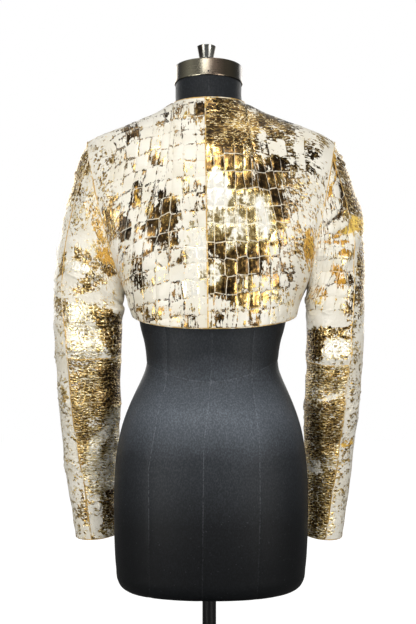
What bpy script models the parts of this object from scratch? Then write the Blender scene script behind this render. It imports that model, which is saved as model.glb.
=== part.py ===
"""Cropped leather bolero jacket on a black dress form with a short pole and a round base.

Metres, +Z up. The origin is the centre of the base's underside. The front faces -Y, and the wearer's left
is +X. The jacket is ten cut pieces of leather, sewn edge to edge: two backs, two fronts, and on each sleeve
an outer sleeve and an under sleeve in two pieces, joined across the elbow. Every seam keeps a fine gap.
"""

import math
from collections import namedtuple

import bmesh
import bpy
from mathutils import Vector

# Leather and seams
LEATHER = 0.0016
SEAM_GAP = 0.0003
LONGEST_MITRE = 2.0
PROBE = 0.0004
PROBE_TURN = 0.008
HALVINGS = 30
SHARP_EDGE_DEGREES = 40
CUT_DIRECTION = Vector((0.0, 0.35, 1.0))

# Stand
BASE_RADIUS = 0.165
BASE_HEIGHT = 0.018
BASE_ROUNDING = 0.005
BOSS_RADIUS = 0.024
BOSS_HEIGHT = 0.012
BOSS_TAPER = 0.002
POLE_RADIUS = 0.011
TORSO_BOTTOM = 0.2055

# Neck cap and finial
NECK_TOP = 1.0127
CAP_RADIUS = 0.0541
CAP_HEIGHT = 0.0270
CAP_ROUNDING = 0.0022
FINIAL_STEM_RADIUS = 0.0112
FINIAL_STEM_HEIGHT = 0.0130
FINIAL_STEP = 0.0006
FINIAL_HEIGHT = 0.0335
FINIAL_TOP_RADIUS = 0.0156
FINIAL_ROUNDING = 0.0014
CAP_X = 0.0012
FINIAL_X = 0.0045

# Waist line of the form, which dips at the centre back
WAIST_HEIGHT = 0.568
WAIST_DIP = 0.028
WAIST_SPREAD = 0.055
WAIST_DIP_POWER = 1.5

# Jacket landmarks. The centre seam stands a little to the wearer's left of the stand's axis.
NAPE_HEIGHT = 0.9770
NECK_POINT_HEIGHT = 0.9800
CENTRE_SEAM_AT_HEM = 0.0020
CENTRE_SEAM_AT_NAPE = 0.0064
HEM_SIDE_HEIGHT = 0.6450
HEM_BACK_DROP = 0.0255
HEM_FRONT_RISE = 0.0170
FRONT_EDGE_SPLIT = 0.7050
FRONT_CORNER_SHARE = 0.333
LEFT_ELBOW_SEAM = 0.5825
RIGHT_ELBOW_SEAM = 0.5740
ARMHOLE_FIT_LENGTH = 0.085
FOLD_FADE_AT_ARMHOLE = 0.030
FOLD_FADE_AT_CUFF = 0.020

# Mesh counts
FORM_SEGMENTS = 36
FORM_RING_SPACING = 0.032
ROUND_SEGMENTS = 32
NECK_COLUMNS = 4
SHOULDER_COLUMNS = 6
SIDE_ROWS = 4
ARMHOLE_ROWS = 12
OUTER_SLEEVE_COLUMNS = 11
UNDER_SLEEVE_COLUMNS = 13
UPPER_SLEEVE_ROWS = 15
LOWER_SLEEVE_ROWS = 14

Section = namedtuple("Section", "height half_width front back power middle")
Station = namedtuple(
    "Station", "height rise outer_x inner_x centre_y half_depth pitch back_seam front_seam"
)
Fold = namedtuple("Fold", "height angle reach width depth slant")
EdgePoint = namedtuple("EdgePoint", "height x")
Armhole = namedtuple("Armhole", "top bottom bow")

# Horizontal sections of the dress form, from the rounded bottom to the neck. Middle is the section's own
# centre along X, as the form and the jacket on it sway a few millimetres off the stand's axis.
FORM_SECTIONS = [
    Section(0.2055, 0.1220, 0.0660, 0.0780, 2.20, -0.0020),
    Section(0.2085, 0.1335, 0.0760, 0.0880, 2.20, -0.0021),
    Section(0.2145, 0.1425, 0.0830, 0.0955, 2.20, -0.0022),
    Section(0.2240, 0.1482, 0.0875, 0.1015, 2.20, -0.0024),
    Section(0.2450, 0.1512, 0.0915, 0.1065, 2.20, -0.0026),
    Section(0.2900, 0.1540, 0.0965, 0.1135, 2.20, -0.0028),
    Section(0.3650, 0.1548, 0.0980, 0.1170, 2.20, -0.0029),
    Section(0.4290, 0.1502, 0.0970, 0.1120, 2.20, -0.0032),
    Section(0.4670, 0.1430, 0.0940, 0.1050, 2.20, -0.0036),
    Section(0.5060, 0.1292, 0.0890, 0.0930, 2.20, -0.0040),
    Section(0.5250, 0.1207, 0.0865, 0.0850, 2.20, -0.0042),
    Section(0.5440, 0.1120, 0.0835, 0.0775, 2.20, -0.0044),
    Section(0.5600, 0.1062, 0.0815, 0.0718, 2.20, -0.0045),
    Section(0.5680, 0.1050, 0.0810, 0.0705, 2.20, -0.0046),
    Section(0.5820, 0.1058, 0.0815, 0.0710, 2.20, -0.0047),
    Section(0.6020, 0.1088, 0.0845, 0.0735, 2.20, -0.0048),
    Section(0.6210, 0.1140, 0.0885, 0.0765, 2.20, -0.0050),
    Section(0.6600, 0.1220, 0.0995, 0.0830, 2.25, -0.0058),
    Section(0.6930, 0.1310, 0.1110, 0.0870, 2.30, -0.0064),
    Section(0.7400, 0.1400, 0.1200, 0.0910, 2.35, -0.0060),
    Section(0.7800, 0.1480, 0.1150, 0.0930, 2.35, -0.0052),
    Section(0.8200, 0.1560, 0.1010, 0.0930, 2.35, -0.0045),
    Section(0.8600, 0.1650, 0.0860, 0.0900, 2.35, -0.0038),
    Section(0.8900, 0.1690, 0.0760, 0.0840, 2.30, -0.0035),
    Section(0.9080, 0.1680, 0.0690, 0.0780, 2.25, -0.0035),
    Section(0.9220, 0.1590, 0.0630, 0.0705, 2.20, -0.0050),
    Section(0.9350, 0.1452, 0.0590, 0.0650, 2.15, -0.0057),
    Section(0.9450, 0.1269, 0.0565, 0.0615, 2.10, -0.0052),
    Section(0.9550, 0.1008, 0.0548, 0.0588, 2.10, -0.0040),
    Section(0.9650, 0.0774, 0.0535, 0.0565, 2.05, -0.0024),
    Section(0.9740, 0.0600, 0.0525, 0.0548, 2.00, -0.0008),
    Section(0.9810, 0.0540, 0.0518, 0.0538, 2.00, 0.0004),
    Section(0.9920, 0.0528, 0.0515, 0.0530, 2.00, 0.0012),
    Section(1.0127, 0.0528, 0.0520, 0.0530, 2.00, 0.0012),
]

# Horizontal sections of the jacket's body. Between the underarm and the shoulder point the half width runs
# on past the armhole, so that fronts and backs meet the armhole on one smooth surface.
BODY_SECTIONS = [
    Section(0.6100, 0.1205, 0.0920, 0.0850, 2.30, -0.0075),
    Section(0.6450, 0.1320, 0.1020, 0.0900, 2.30, -0.0080),
    Section(0.6608, 0.1362, 0.1080, 0.0925, 2.30, -0.0075),
    Section(0.6800, 0.1430, 0.1150, 0.0950, 2.30, -0.0085),
    Section(0.6930, 0.1495, 0.1195, 0.0965, 2.35, -0.0084),
    Section(0.7300, 0.1720, 0.1265, 0.0995, 2.35, -0.0075),
    Section(0.7700, 0.1950, 0.1250, 0.1010, 2.35, -0.0062),
    Section(0.8100, 0.2110, 0.1140, 0.1010, 2.35, -0.0050),
    Section(0.8500, 0.2150, 0.1000, 0.0985, 2.35, -0.0040),
    Section(0.8900, 0.2085, 0.0860, 0.0915, 2.30, -0.0032),
    Section(0.9180, 0.1985, 0.0750, 0.0815, 2.25, -0.0026),
    Section(0.9260, 0.1840, 0.0715, 0.0770, 2.20, -0.0055),
    Section(0.9350, 0.1610, 0.0675, 0.0730, 2.15, -0.0058),
    Section(0.9450, 0.1340, 0.0640, 0.0690, 2.10, -0.0052),
    Section(0.9550, 0.1080, 0.0610, 0.0650, 2.10, -0.0040),
    Section(0.9650, 0.0845, 0.0590, 0.0622, 2.05, -0.0025),
    Section(0.9740, 0.0680, 0.0575, 0.0602, 2.00, -0.0012),
    Section(0.9800, 0.0590, 0.0565, 0.0590, 2.00, -0.0005),
    Section(0.9900, 0.0565, 0.0560, 0.0585, 2.00, 0.0000),
]

# Front edge, from the cut-away hem corner up round the neck; x is counted from the body's own middle
FRONT_EDGE = [
    EdgePoint(0.6560, 0.1000),
    EdgePoint(0.6660, 0.0800),
    EdgePoint(0.6820, 0.0600),
    EdgePoint(0.7050, 0.0430),
    EdgePoint(0.7400, 0.0290),
    EdgePoint(0.7800, 0.0205),
    EdgePoint(0.8200, 0.0170),
    EdgePoint(0.8600, 0.0175),
    EdgePoint(0.9000, 0.0220),
    EdgePoint(0.9300, 0.0300),
    EdgePoint(0.9550, 0.0425),
    EdgePoint(0.9660, 0.0510),
    EdgePoint(0.9740, 0.0562),
    EdgePoint(0.9800, 0.0590),
]

LEFT_ARMHOLE = Armhole(0.9200, 0.6800, 0.0042)
RIGHT_ARMHOLE = Armhole(0.9200, 0.6890, -0.0022)

# Rings of each sleeve from cuff to armhole. Height is the ring centre's; rise is how much higher the outer
# point lies than the centre; pitch, back_seam and front_seam are degrees, the seams counted round the ring
# from the outer point towards the back.
LEFT_SLEEVE = [
    Station(0.2845, -0.0032, 0.2230, 0.1490, -0.0700, 0.0420, 5.0, 81.0, 245.0),
    Station(0.3330, -0.0030, 0.2305, 0.1515, -0.0670, 0.0430, 5.0, 80.0, 245.0),
    Station(0.3710, -0.0025, 0.2360, 0.1520, -0.0640, 0.0445, 6.0, 79.0, 245.0),
    Station(0.4100, -0.0020, 0.2405, 0.1510, -0.0580, 0.0455, 10.0, 74.0, 244.0),
    Station(0.4480, -0.0015, 0.2435, 0.1485, -0.0500, 0.0460, 14.0, 69.0, 243.0),
    Station(0.4860, -0.0010, 0.2455, 0.1455, -0.0400, 0.0465, 15.0, 64.0, 242.0),
    Station(0.5250, -0.0005, 0.2468, 0.1435, -0.0290, 0.0475, 15.0, 61.0, 241.0),
    Station(0.5630, 0.0000, 0.2475, 0.1430, -0.0190, 0.0480, 13.0, 59.0, 240.0),
    Station(0.6020, 0.0020, 0.2490, 0.1418, -0.0110, 0.0495, 8.0, 58.0, 240.0),
    Station(0.6500, 0.0110, 0.2500, 0.1385, -0.0070, 0.0515, 3.0, 50.0, 240.0),
    Station(0.6860, 0.0280, 0.2460, 0.1370, -0.0050, 0.0540, 0.0, 45.0, 240.0),
    Station(0.7150, 0.0500, 0.2400, 0.1370, -0.0035, 0.0570, 0.0, 45.0, 240.0),
    Station(0.7410, 0.0710, 0.2310, 0.1370, -0.0025, 0.0590, 0.0, 46.0, 240.0),
    Station(0.7660, 0.0920, 0.2180, 0.1365, -0.0015, 0.0610, 0.0, 46.0, 240.0),
    Station(0.7850, 0.1080, 0.2065, 0.1355, -0.0005, 0.0620, 0.0, 46.0, 240.0),
    Station(0.8000, 0.1200, 0.1950, 0.1345, 0.0000, 0.0620, 0.0, 45.0, 240.0),
]
RIGHT_SLEEVE = [
    Station(0.2845, -0.0028, 0.2220, 0.1540, -0.0700, 0.0440, 5.0, 88.0, 245.0),
    Station(0.3330, -0.0028, 0.2295, 0.1585, -0.0680, 0.0455, 5.0, 88.0, 245.0),
    Station(0.3710, -0.0025, 0.2340, 0.1590, -0.0650, 0.0475, 6.0, 84.0, 245.0),
    Station(0.4100, -0.0020, 0.2380, 0.1578, -0.0590, 0.0490, 10.0, 78.0, 244.0),
    Station(0.4480, -0.0015, 0.2413, 0.1565, -0.0510, 0.0505, 14.0, 76.0, 243.0),
    Station(0.4860, -0.0010, 0.2442, 0.1560, -0.0400, 0.0515, 15.0, 72.0, 242.0),
    Station(0.5250, -0.0005, 0.2460, 0.1558, -0.0290, 0.0525, 15.0, 70.0, 241.0),
    Station(0.5630, 0.0000, 0.2474, 0.1570, -0.0190, 0.0530, 13.0, 68.0, 240.0),
    Station(0.6020, 0.0020, 0.2483, 0.1558, -0.0110, 0.0540, 8.0, 64.0, 240.0),
    Station(0.6500, 0.0110, 0.2490, 0.1560, -0.0070, 0.0560, 3.0, 62.0, 240.0),
    Station(0.6880, 0.0265, 0.2500, 0.1555, -0.0050, 0.0575, 0.0, 60.0, 240.0),
    Station(0.7175, 0.0475, 0.2482, 0.1555, -0.0035, 0.0585, 0.0, 59.0, 240.0),
    Station(0.7440, 0.0680, 0.2415, 0.1555, -0.0025, 0.0595, 0.0, 59.0, 240.0),
    Station(0.7690, 0.0890, 0.2275, 0.1550, -0.0015, 0.0610, 0.0, 55.0, 240.0),
    Station(0.7890, 0.1040, 0.2135, 0.1545, -0.0005, 0.0620, 0.0, 50.0, 240.0),
    Station(0.8045, 0.1155, 0.2010, 0.1530, 0.0000, 0.0620, 0.0, 45.0, 240.0),
]

# Largest folds: height and angle of each fold's middle, reach round the sleeve in degrees, half width along
# the sleeve, depth outwards, and slant, which is how far the fold climbs for each degree round the sleeve
LEFT_FOLDS = [
    Fold(0.6900, 150.0, 42.0, 0.0110, -0.0050, 0.00035),
    Fold(0.6600, 128.0, 46.0, 0.0120, 0.0040, 0.00030),
    Fold(0.6330, 140.0, 44.0, 0.0110, -0.0045, 0.00025),
    Fold(0.5980, 100.0, 60.0, 0.0130, 0.0035, 0.00012),
    Fold(0.5480, 120.0, 52.0, 0.0120, -0.0040, -0.00010),
    Fold(0.5150, 290.0, 50.0, 0.0130, -0.0050, 0.00010),
    Fold(0.5650, 285.0, 48.0, 0.0130, -0.0045, -0.00010),
    Fold(0.4640, 100.0, 50.0, 0.0130, -0.0030, 0.00020),
    Fold(0.3900, 110.0, 46.0, 0.0120, -0.0025, 0.00020),
]
RIGHT_FOLDS = [
    Fold(0.7350, 20.0, 44.0, 0.0110, 0.0050, -0.00030),
    Fold(0.7080, 45.0, 50.0, 0.0100, -0.0055, -0.00030),
    Fold(0.6700, 150.0, 46.0, 0.0110, -0.0045, 0.00030),
    Fold(0.6180, 95.0, 60.0, 0.0120, -0.0035, 0.00004),
    Fold(0.5900, 90.0, 56.0, 0.0110, 0.0040, 0.00000),
    Fold(0.5420, 110.0, 54.0, 0.0120, -0.0040, 0.00010),
    Fold(0.5150, 290.0, 50.0, 0.0130, -0.0050, -0.00010),
    Fold(0.5650, 285.0, 48.0, 0.0130, -0.0045, 0.00010),
    Fold(0.4500, 95.0, 50.0, 0.0130, -0.0030, -0.00020),
]

Sleeve = namedtuple("Sleeve", "stations folds elbow_seam")

# Colours, roughness and metallic value of each sub-part's own material
Finish = namedtuple("Finish", "colour roughness metallic")
GOLD_LEATHER = Finish((0.78, 0.66, 0.40), 0.35, 0.6)
IVORY_LEATHER = Finish((0.84, 0.80, 0.70), 0.40, 0.2)
BLACK_JERSEY = Finish((0.016, 0.017, 0.021), 0.85, 0.0)
BRUSHED_NICKEL = Finish((0.46, 0.45, 0.40), 0.28, 1.0)
BLACK_STEEL = Finish((0.012, 0.012, 0.013), 0.45, 0.3)


class Profile:
    """Smooth curves through a table's columns, read by height, that never overshoot a row."""

    def __init__(self, rows):
        self.rows = rows
        self.heights = [row.height for row in rows]
        self.slopes = {
            name: self.column_slopes([getattr(row, name) for row in rows])
            for name in rows[0]._fields
        }

    def column_slopes(self, values):
        """The slope at each row: the harmonic mean of its neighbours' slopes, or level at a turn."""
        steps = [b - a for a, b in zip(self.heights, self.heights[1:])]
        rates = [(b - a) / step for a, b, step in zip(values, values[1:], steps)]
        slopes = [rates[0]]
        for before, after in zip(rates, rates[1:]):
            turning = before * after <= 0
            slopes.append(0.0 if turning else 2 * before * after / (before + after))
        slopes.append(rates[-1])
        return slopes

    def read(self, name, height):
        """The column's value at a height, held level past either end."""
        height = min(max(height, self.heights[0]), self.heights[-1])
        index = 0
        while index < len(self.heights) - 2 and height > self.heights[index + 1]:
            index += 1
        step = self.heights[index + 1] - self.heights[index]
        t = (height - self.heights[index]) / step
        low, high = getattr(self.rows[index], name), getattr(self.rows[index + 1], name)
        low_slope, high_slope = self.slopes[name][index : index + 2]
        return (
            low * (1 + 2 * t) * (1 - t) ** 2
            + high * (3 - 2 * t) * t**2
            + step * (low_slope * t * (1 - t) ** 2 - high_slope * t**2 * (1 - t))
        )


FORM = Profile(FORM_SECTIONS)
BODY = Profile(BODY_SECTIONS)
EDGE = Profile(FRONT_EDGE)


def mix(a, b, t):
    return a + (b - a) * t


def smooth_step(t):
    t = min(max(t, 0.0), 1.0)
    return t * t * (3 - 2 * t)


def signed_power(value, power):
    return math.copysign(abs(value) ** power, value)


def ring_point(profile, angle, height, side=1):
    """A point on a section; the angle runs from the centre back (0) to this half's own side (90 degrees)."""
    curve = 2 / profile.read("power", height)
    depth = profile.read("back" if math.cos(angle) >= 0 else "front", height)
    x = profile.read("half_width", height) * signed_power(math.sin(angle), curve)
    y = depth * signed_power(math.cos(angle), curve)
    return Vector((x + side * profile.read("middle", height), y, height))


def section_excess(profile, point, side):
    """Zero on the section's outline, negative inside it, positive outside it."""
    power = profile.read("power", point.z)
    depth = profile.read("back" if point.y >= 0 else "front", point.z)
    off_middle = point.x - side * profile.read("middle", point.z)
    across = abs(off_middle) / profile.read("half_width", point.z)
    return across**power + (abs(point.y) / depth) ** power - 1


def section_normal(profile, point, side):
    """The outward normal of a profile's surface, from the slope of its excess."""
    slope = Vector((0, 0, 0))
    for axis in range(3):
        step = Vector((0, 0, 0))
        step[axis] = PROBE
        ahead = section_excess(profile, point + step, side)
        slope[axis] = ahead - section_excess(profile, point - step, side)
    return slope.normalized()


class BodyHalf:
    """One half of the jacket's body, laid out as if its own side were +X and mirrored when it is built."""

    def __init__(self, side, armhole):
        self.side = side
        self.armhole = armhole

    def middle(self, height):
        return self.side * BODY.read("middle", height)

    def seam_x(self, height):
        """Where the centre back seam lies at this height."""
        climb = (height - HEM_SIDE_HEIGHT) / (NAPE_HEIGHT - HEM_SIDE_HEIGHT)
        return self.side * mix(CENTRE_SEAM_AT_HEM, CENTRE_SEAM_AT_NAPE, climb)

    def side_x(self, height):
        """The widest point of the section, where front and back meet."""
        return BODY.read("half_width", height) + self.middle(height)

    def wall(self, x, height, part):
        """A point of the front or back wall at x and height."""
        power = BODY.read("power", height)
        across = abs(x - self.middle(height)) / BODY.read("half_width", height)
        depth = BODY.read(part, height) * (1 - min(across, 1.0) ** power) ** (1 / power)
        return Vector((x, depth if part == "back" else -depth, height))

    def angle_at(self, x, height):
        """The section angle, from the middle to the side, at which the section reaches x."""
        across = (x - self.middle(height)) / BODY.read("half_width", height)
        return math.asin(signed_power(max(min(across, 1.0), -1.0), BODY.read("power", height) / 2))

    def normal(self, point):
        return section_normal(BODY, point, self.side)

    def armhole_point(self, angle):
        """A point on the armhole; the angle runs from the shoulder (0) through the back to the underarm."""
        top, bottom, bow = self.armhole
        climb = (1 + math.cos(angle)) / 2
        x = mix(self.side_x(bottom), self.side_x(top), climb) + bow * math.sin(math.pi * climb)
        return self.wall(x, mix(bottom, top, climb), "back" if math.sin(angle) >= 0 else "front")

    def shoulder_line(self):
        """The shoulder seam as (x, height) pairs, from the neck point to the shoulder point."""
        line = []
        for column in range(SHOULDER_COLUMNS + 1):
            share = column / SHOULDER_COLUMNS
            x = mix(self.side_x(NECK_POINT_HEIGHT), self.side_x(self.armhole.top), share)
            line.append((x, self.ridge_height(x)))
        return line

    def ridge_height(self, x):
        """The height of the shoulder seam at x, found on the body's sections by halving."""
        low, high = self.armhole.top, NECK_POINT_HEIGHT
        for _ in range(HALVINGS):
            middle = (low + high) / 2
            if self.side_x(middle) > x:
                low = middle
            else:
                high = middle
        return (low + high) / 2

    def back_top(self):
        """The back's upper edge as (x, height) pairs: the neckline, then the shoulder seam."""
        top = []
        for column in range(NECK_COLUMNS):
            share = column / NECK_COLUMNS
            x = mix(
                self.seam_x(NAPE_HEIGHT),
                self.side_x(NECK_POINT_HEIGHT),
                math.sin(share * math.pi / 2),
            )
            top.append((x, mix(NAPE_HEIGHT, NECK_POINT_HEIGHT, share**2)))
        return top + self.shoulder_line()

    def back_grid(self):
        """Outer points of the back, from the centre seam to the side, and from the hem to the shoulder."""
        columns = NECK_COLUMNS + SHOULDER_COLUMNS
        underarm = self.armhole.bottom
        rows = []
        for row in range(SIDE_ROWS + 1):
            line = []
            for column in range(columns + 1):
                even = math.pi / 2 * column / columns
                height = mix(hem_height(even), underarm, row / SIDE_ROWS)
                start = self.angle_at(self.seam_x(height), height)
                angle = mix(start, math.pi / 2, column / columns)
                line.append(ring_point(BODY, angle, height, self.side))
            rows.append(line)
        underarm_row = rows[-1]
        top = self.back_top()
        for row in range(1, ARMHOLE_ROWS + 1):
            step = row / ARMHOLE_ROWS
            line = []
            for column in range(columns):
                across = column / columns
                roundness = min(column / NECK_COLUMNS, 1.0) ** 2
                share = climb_share(step, across, roundness)
                x = mix(underarm_row[column].x, top[column][0], share)
                x += self.armhole.bow * across**3 * math.sin(math.pi * share)
                line.append(self.wall(x, mix(underarm, top[column][1], share), "back"))
            line.append(self.armhole_point(math.pi * (1 - step)))
            rows.append(line)
        return rows

    def front_grid(self):
        """Outer points of the front, from its cut-away edge to the side, and from the hem to the shoulder."""
        columns = SHOULDER_COLUMNS
        underarm = self.armhole.bottom
        rows = []
        for row in range(SIDE_ROWS + 1):
            share = row / SIDE_ROWS
            edge_height = mix(FRONT_EDGE[0].height, FRONT_EDGE_SPLIT, share)
            edge_x = EDGE.read("x", edge_height) + self.middle(edge_height)
            edge_angle = self.angle_at(edge_x, edge_height)
            line = []
            for column in range(columns + 1):
                across = column / columns
                angle = math.pi - mix(edge_angle, math.pi / 2, across)
                hem = mix(FRONT_EDGE[0].height, hem_height(angle), min(across / FRONT_CORNER_SHARE, 1.0))
                top = mix(FRONT_EDGE_SPLIT, underarm, across)
                line.append(ring_point(BODY, angle, mix(hem, top, share), self.side))
            rows.append(line)
        lower = rows[-1]
        top = self.shoulder_line()
        for row in range(1, ARMHOLE_ROWS + 1):
            step = row / ARMHOLE_ROWS
            climb = climb_share(step, 0, 1)
            edge_height = mix(lower[0].z, NECK_POINT_HEIGHT, climb)
            edge_x = EDGE.read("x", edge_height) + self.middle(edge_height)
            line = [self.wall(edge_x, edge_height, "front")]
            edge_bow = edge_x - mix(lower[0].x, top[0][0], climb)
            for column in range(1, columns):
                across = column / columns
                share = climb_share(step, across, 1)
                x = mix(lower[column].x, top[column][0], share) + edge_bow * (1 - across) ** 2
                x += self.armhole.bow * across**3 * math.sin(math.pi * share)
                line.append(self.wall(x, mix(lower[column].z, top[column][1], share), "front"))
            line.append(self.armhole_point(math.pi * (1 + step)))
            rows.append(line)
        return rows


def hem_height(angle):
    """The hem's height, low at the centre back and higher in front."""
    lean = HEM_BACK_DROP if math.cos(angle) >= 0 else HEM_FRONT_RISE
    return HEM_SIDE_HEIGHT - lean * math.cos(angle)


def climb_share(step, share_across, roundness):
    """How far up a column lies at this step: even near the middle, rounded at the shoulder and armhole."""
    rounded = math.sin(step * math.pi / 2)
    armhole = (1 - math.cos(step * math.pi)) / 2
    return mix(mix(step, rounded, roundness), armhole, share_across**3)


def sleeve_ring(profile, angle, height):
    """A point on a sleeve's plain ring, before its folds and before it is fitted to the armhole."""
    outer, inner = profile.read("outer_x", height), profile.read("inner_x", height)
    rise, depth = profile.read("rise", height), profile.read("half_depth", height)
    pitch = math.radians(profile.read("pitch", height))
    centre = Vector(((outer + inner) / 2, profile.read("centre_y", height), height))
    across = Vector(((outer - inner) / 2, 0, rise))
    backwards = Vector((0, depth * math.cos(pitch), -depth * math.sin(pitch)))
    return centre + across * math.cos(angle) + backwards * math.sin(angle)


def fold_height(folds, angle, height):
    """How far the folds push the leather outwards at this place."""
    degrees = math.degrees(angle) % 360
    total = 0.0
    for fold in folds:
        away = (degrees - fold.angle + 180) % 360 - 180
        along = (height - fold.height - fold.slant * away) / fold.width
        total += fold.depth * math.exp(-(along**2) - (away / fold.reach) ** 2)
    return total


class SleeveShape:
    """The left-hand surface of one sleeve, fitted to the armhole at its top."""

    def __init__(self, sleeve, half):
        self.sleeve = sleeve
        self.half = half
        self.profile = Profile(sleeve.stations)
        self.top = sleeve.stations[-1].height
        self.bottom = sleeve.stations[0].height

    def fitted(self, angle, height):
        """The ring, eased onto the armhole as it nears it."""
        plain = sleeve_ring(self.profile, angle, height)
        nearness = 1 - smooth_step((self.top - height) / ARMHOLE_FIT_LENGTH)
        missing = self.half.armhole_point(angle) - sleeve_ring(self.profile, angle, self.top)
        return plain + missing * nearness

    def plain_normal(self, angle, height):
        """The outward normal of the fitted ring surface, without folds."""
        high, low = min(height + PROBE, self.top), max(height - PROBE, self.bottom)
        round_it = self.fitted(angle + PROBE_TURN, height) - self.fitted(angle - PROBE_TURN, height)
        along = self.fitted(angle, high) - self.fitted(angle, low)
        return round_it.cross(along).normalized()

    def point(self, angle, height):
        """A point on the finished surface. The folds die out before the armhole and the cuff."""
        fade = smooth_step((self.top - height) / FOLD_FADE_AT_ARMHOLE)
        fade *= smooth_step((height - self.bottom) / FOLD_FADE_AT_CUFF)
        push = fold_height(self.sleeve.folds, angle, height) * fade
        return self.fitted(angle, height) + self.plain_normal(angle, height) * push

    def normal(self, angle, height):
        """The outward normal of the finished surface, folds included."""
        high, low = min(height + PROBE, self.top), max(height - PROBE, self.bottom)
        round_it = self.point(angle + PROBE_TURN, height) - self.point(angle - PROBE_TURN, height)
        along = self.point(angle, high) - self.point(angle, low)
        return round_it.cross(along).normalized()

    def mitre(self, angle):
        """The step from the outer to the inner edge of both walls where this sleeve meets the body."""
        on_body = self.half.normal(self.half.armhole_point(angle))
        on_sleeve = self.plain_normal(angle, self.top)
        middle = (on_body + on_sleeve).normalized()
        return middle * (-LEATHER / max(middle.dot(on_body), 1 / LONGEST_MITRE))


def make_material(name, finish):
    material = bpy.data.materials.new(name)
    material.use_nodes = True
    shader = material.node_tree.nodes["Principled BSDF"]
    shader.inputs["Base Color"].default_value = (*finish.colour, 1)
    shader.inputs["Roughness"].default_value = finish.roughness
    shader.inputs["Metallic"].default_value = finish.metallic
    return material


def add_object(name, points, faces, finish):
    """A mesh object of these points and faces, with its faces turned outwards and its own material."""
    mesh = bpy.data.meshes.new(name)
    mesh.from_pydata([tuple(point) for point in points], [], faces)
    shape = bmesh.new()
    shape.from_mesh(mesh)
    bmesh.ops.recalc_face_normals(shape, faces=shape.faces)
    shape.to_mesh(mesh)
    shape.free()
    mesh.shade_smooth()
    mesh.set_sharp_from_angle(angle=math.radians(SHARP_EDGE_DEGREES))
    mesh.materials.append(make_material(name, finish))
    placed = bpy.data.objects.new(name, mesh)
    bpy.context.scene.collection.objects.link(placed)
    return placed


def grid_faces(rows, columns, start, flip):
    """The four-sided faces of a grid of points, whose first point has the index start."""
    faces = []
    for row in range(rows - 1):
        for column in range(columns - 1):
            corner = start + row * columns + column
            face = (corner, corner + 1, corner + columns + 1, corner + columns)
            faces.append(face[::-1] if flip else face)
    return faces


def eased_edges(grid):
    """The grid with each edge drawn in by half a seam gap, along the cloth."""
    half_gap = SEAM_GAP / 2
    eased = [[point.copy() for point in row] for row in grid]
    for index, row in enumerate(grid):
        eased[index][0] += (row[1] - row[0]).normalized() * half_gap
        eased[index][-1] += (row[-2] - row[-1]).normalized() * half_gap
    for index in range(len(grid[0])):
        eased[0][index] += (grid[1][index] - grid[0][index]).normalized() * half_gap
        eased[-1][index] += (grid[-2][index] - grid[-1][index]).normalized() * half_gap
    return eased


def rim_triangles(points, here, there, count):
    """The cut edge of the leather between two outer points, as two triangles. The diagonal starts at the
    point further along one slanting direction, so that both panels at a seam are cut the same way."""
    if points[here].dot(CUT_DIRECTION) > points[there].dot(CUT_DIRECTION):
        return [(there, here, there + count), (here, here + count, there + count)]
    return [(there, here, here + count), (there, here + count, there + count)]


def add_wall(name, outer, inward, side, finish):
    """A closed sheet of leather: a grid of outer points, and for each the step to its inner point."""
    inner = [
        [point + step for point, step in zip(points, steps)]
        for points, steps in zip(outer, inward)
    ]
    outer, inner = eased_edges(outer), eased_edges(inner)
    rows, columns = len(outer), len(outer[0])
    points = [point for grid in (outer, inner) for row in grid for point in row]
    points = [Vector((point.x * side, point.y, point.z)) for point in points]
    count = rows * columns
    faces = grid_faces(rows, columns, 0, False) + grid_faces(rows, columns, count, True)
    rim = list(range(columns))
    rim += [row * columns + columns - 1 for row in range(1, rows)]
    rim += [(rows - 1) * columns + column for column in range(columns - 2, -1, -1)]
    rim += [row * columns for row in range(rows - 2, 0, -1)]
    for here, there in zip(rim, rim[1:] + rim[:1]):
        faces += rim_triangles(points, here, there, count)
    return add_object(name, points, faces, finish)


def add_body_panel(name, half, grid, shape, turn, finish):
    """A front or a back, its armhole edge mitred against the sleeve's."""
    inward = [[half.normal(point) * -LEATHER for point in row] for row in grid]
    for row in range(ARMHOLE_ROWS + 1):
        angle = math.pi * (1 + turn * row / ARMHOLE_ROWS)
        inward[SIDE_ROWS + row][-1] = shape.mitre(angle)
    return add_wall(name, grid, inward, half.side, finish)


def add_sleeve_panel(name, shape, columns, from_seam, to_seam, heights, finish):
    """A strip of sleeve between two seams, which are functions of height giving degrees round the sleeve."""
    outer, inward = [], []
    for height in heights:
        start, end = from_seam(height), to_seam(height)
        angles = [math.radians(mix(start, end, column / columns)) for column in range(columns + 1)]
        outer.append([shape.point(angle, height) for angle in angles])
        if height == shape.top:
            inward.append([shape.mitre(angle) for angle in angles])
        else:
            inward.append([shape.normal(angle, height) * -LEATHER for angle in angles])
    return add_wall(name, outer, inward, shape.half.side, finish)


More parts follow.
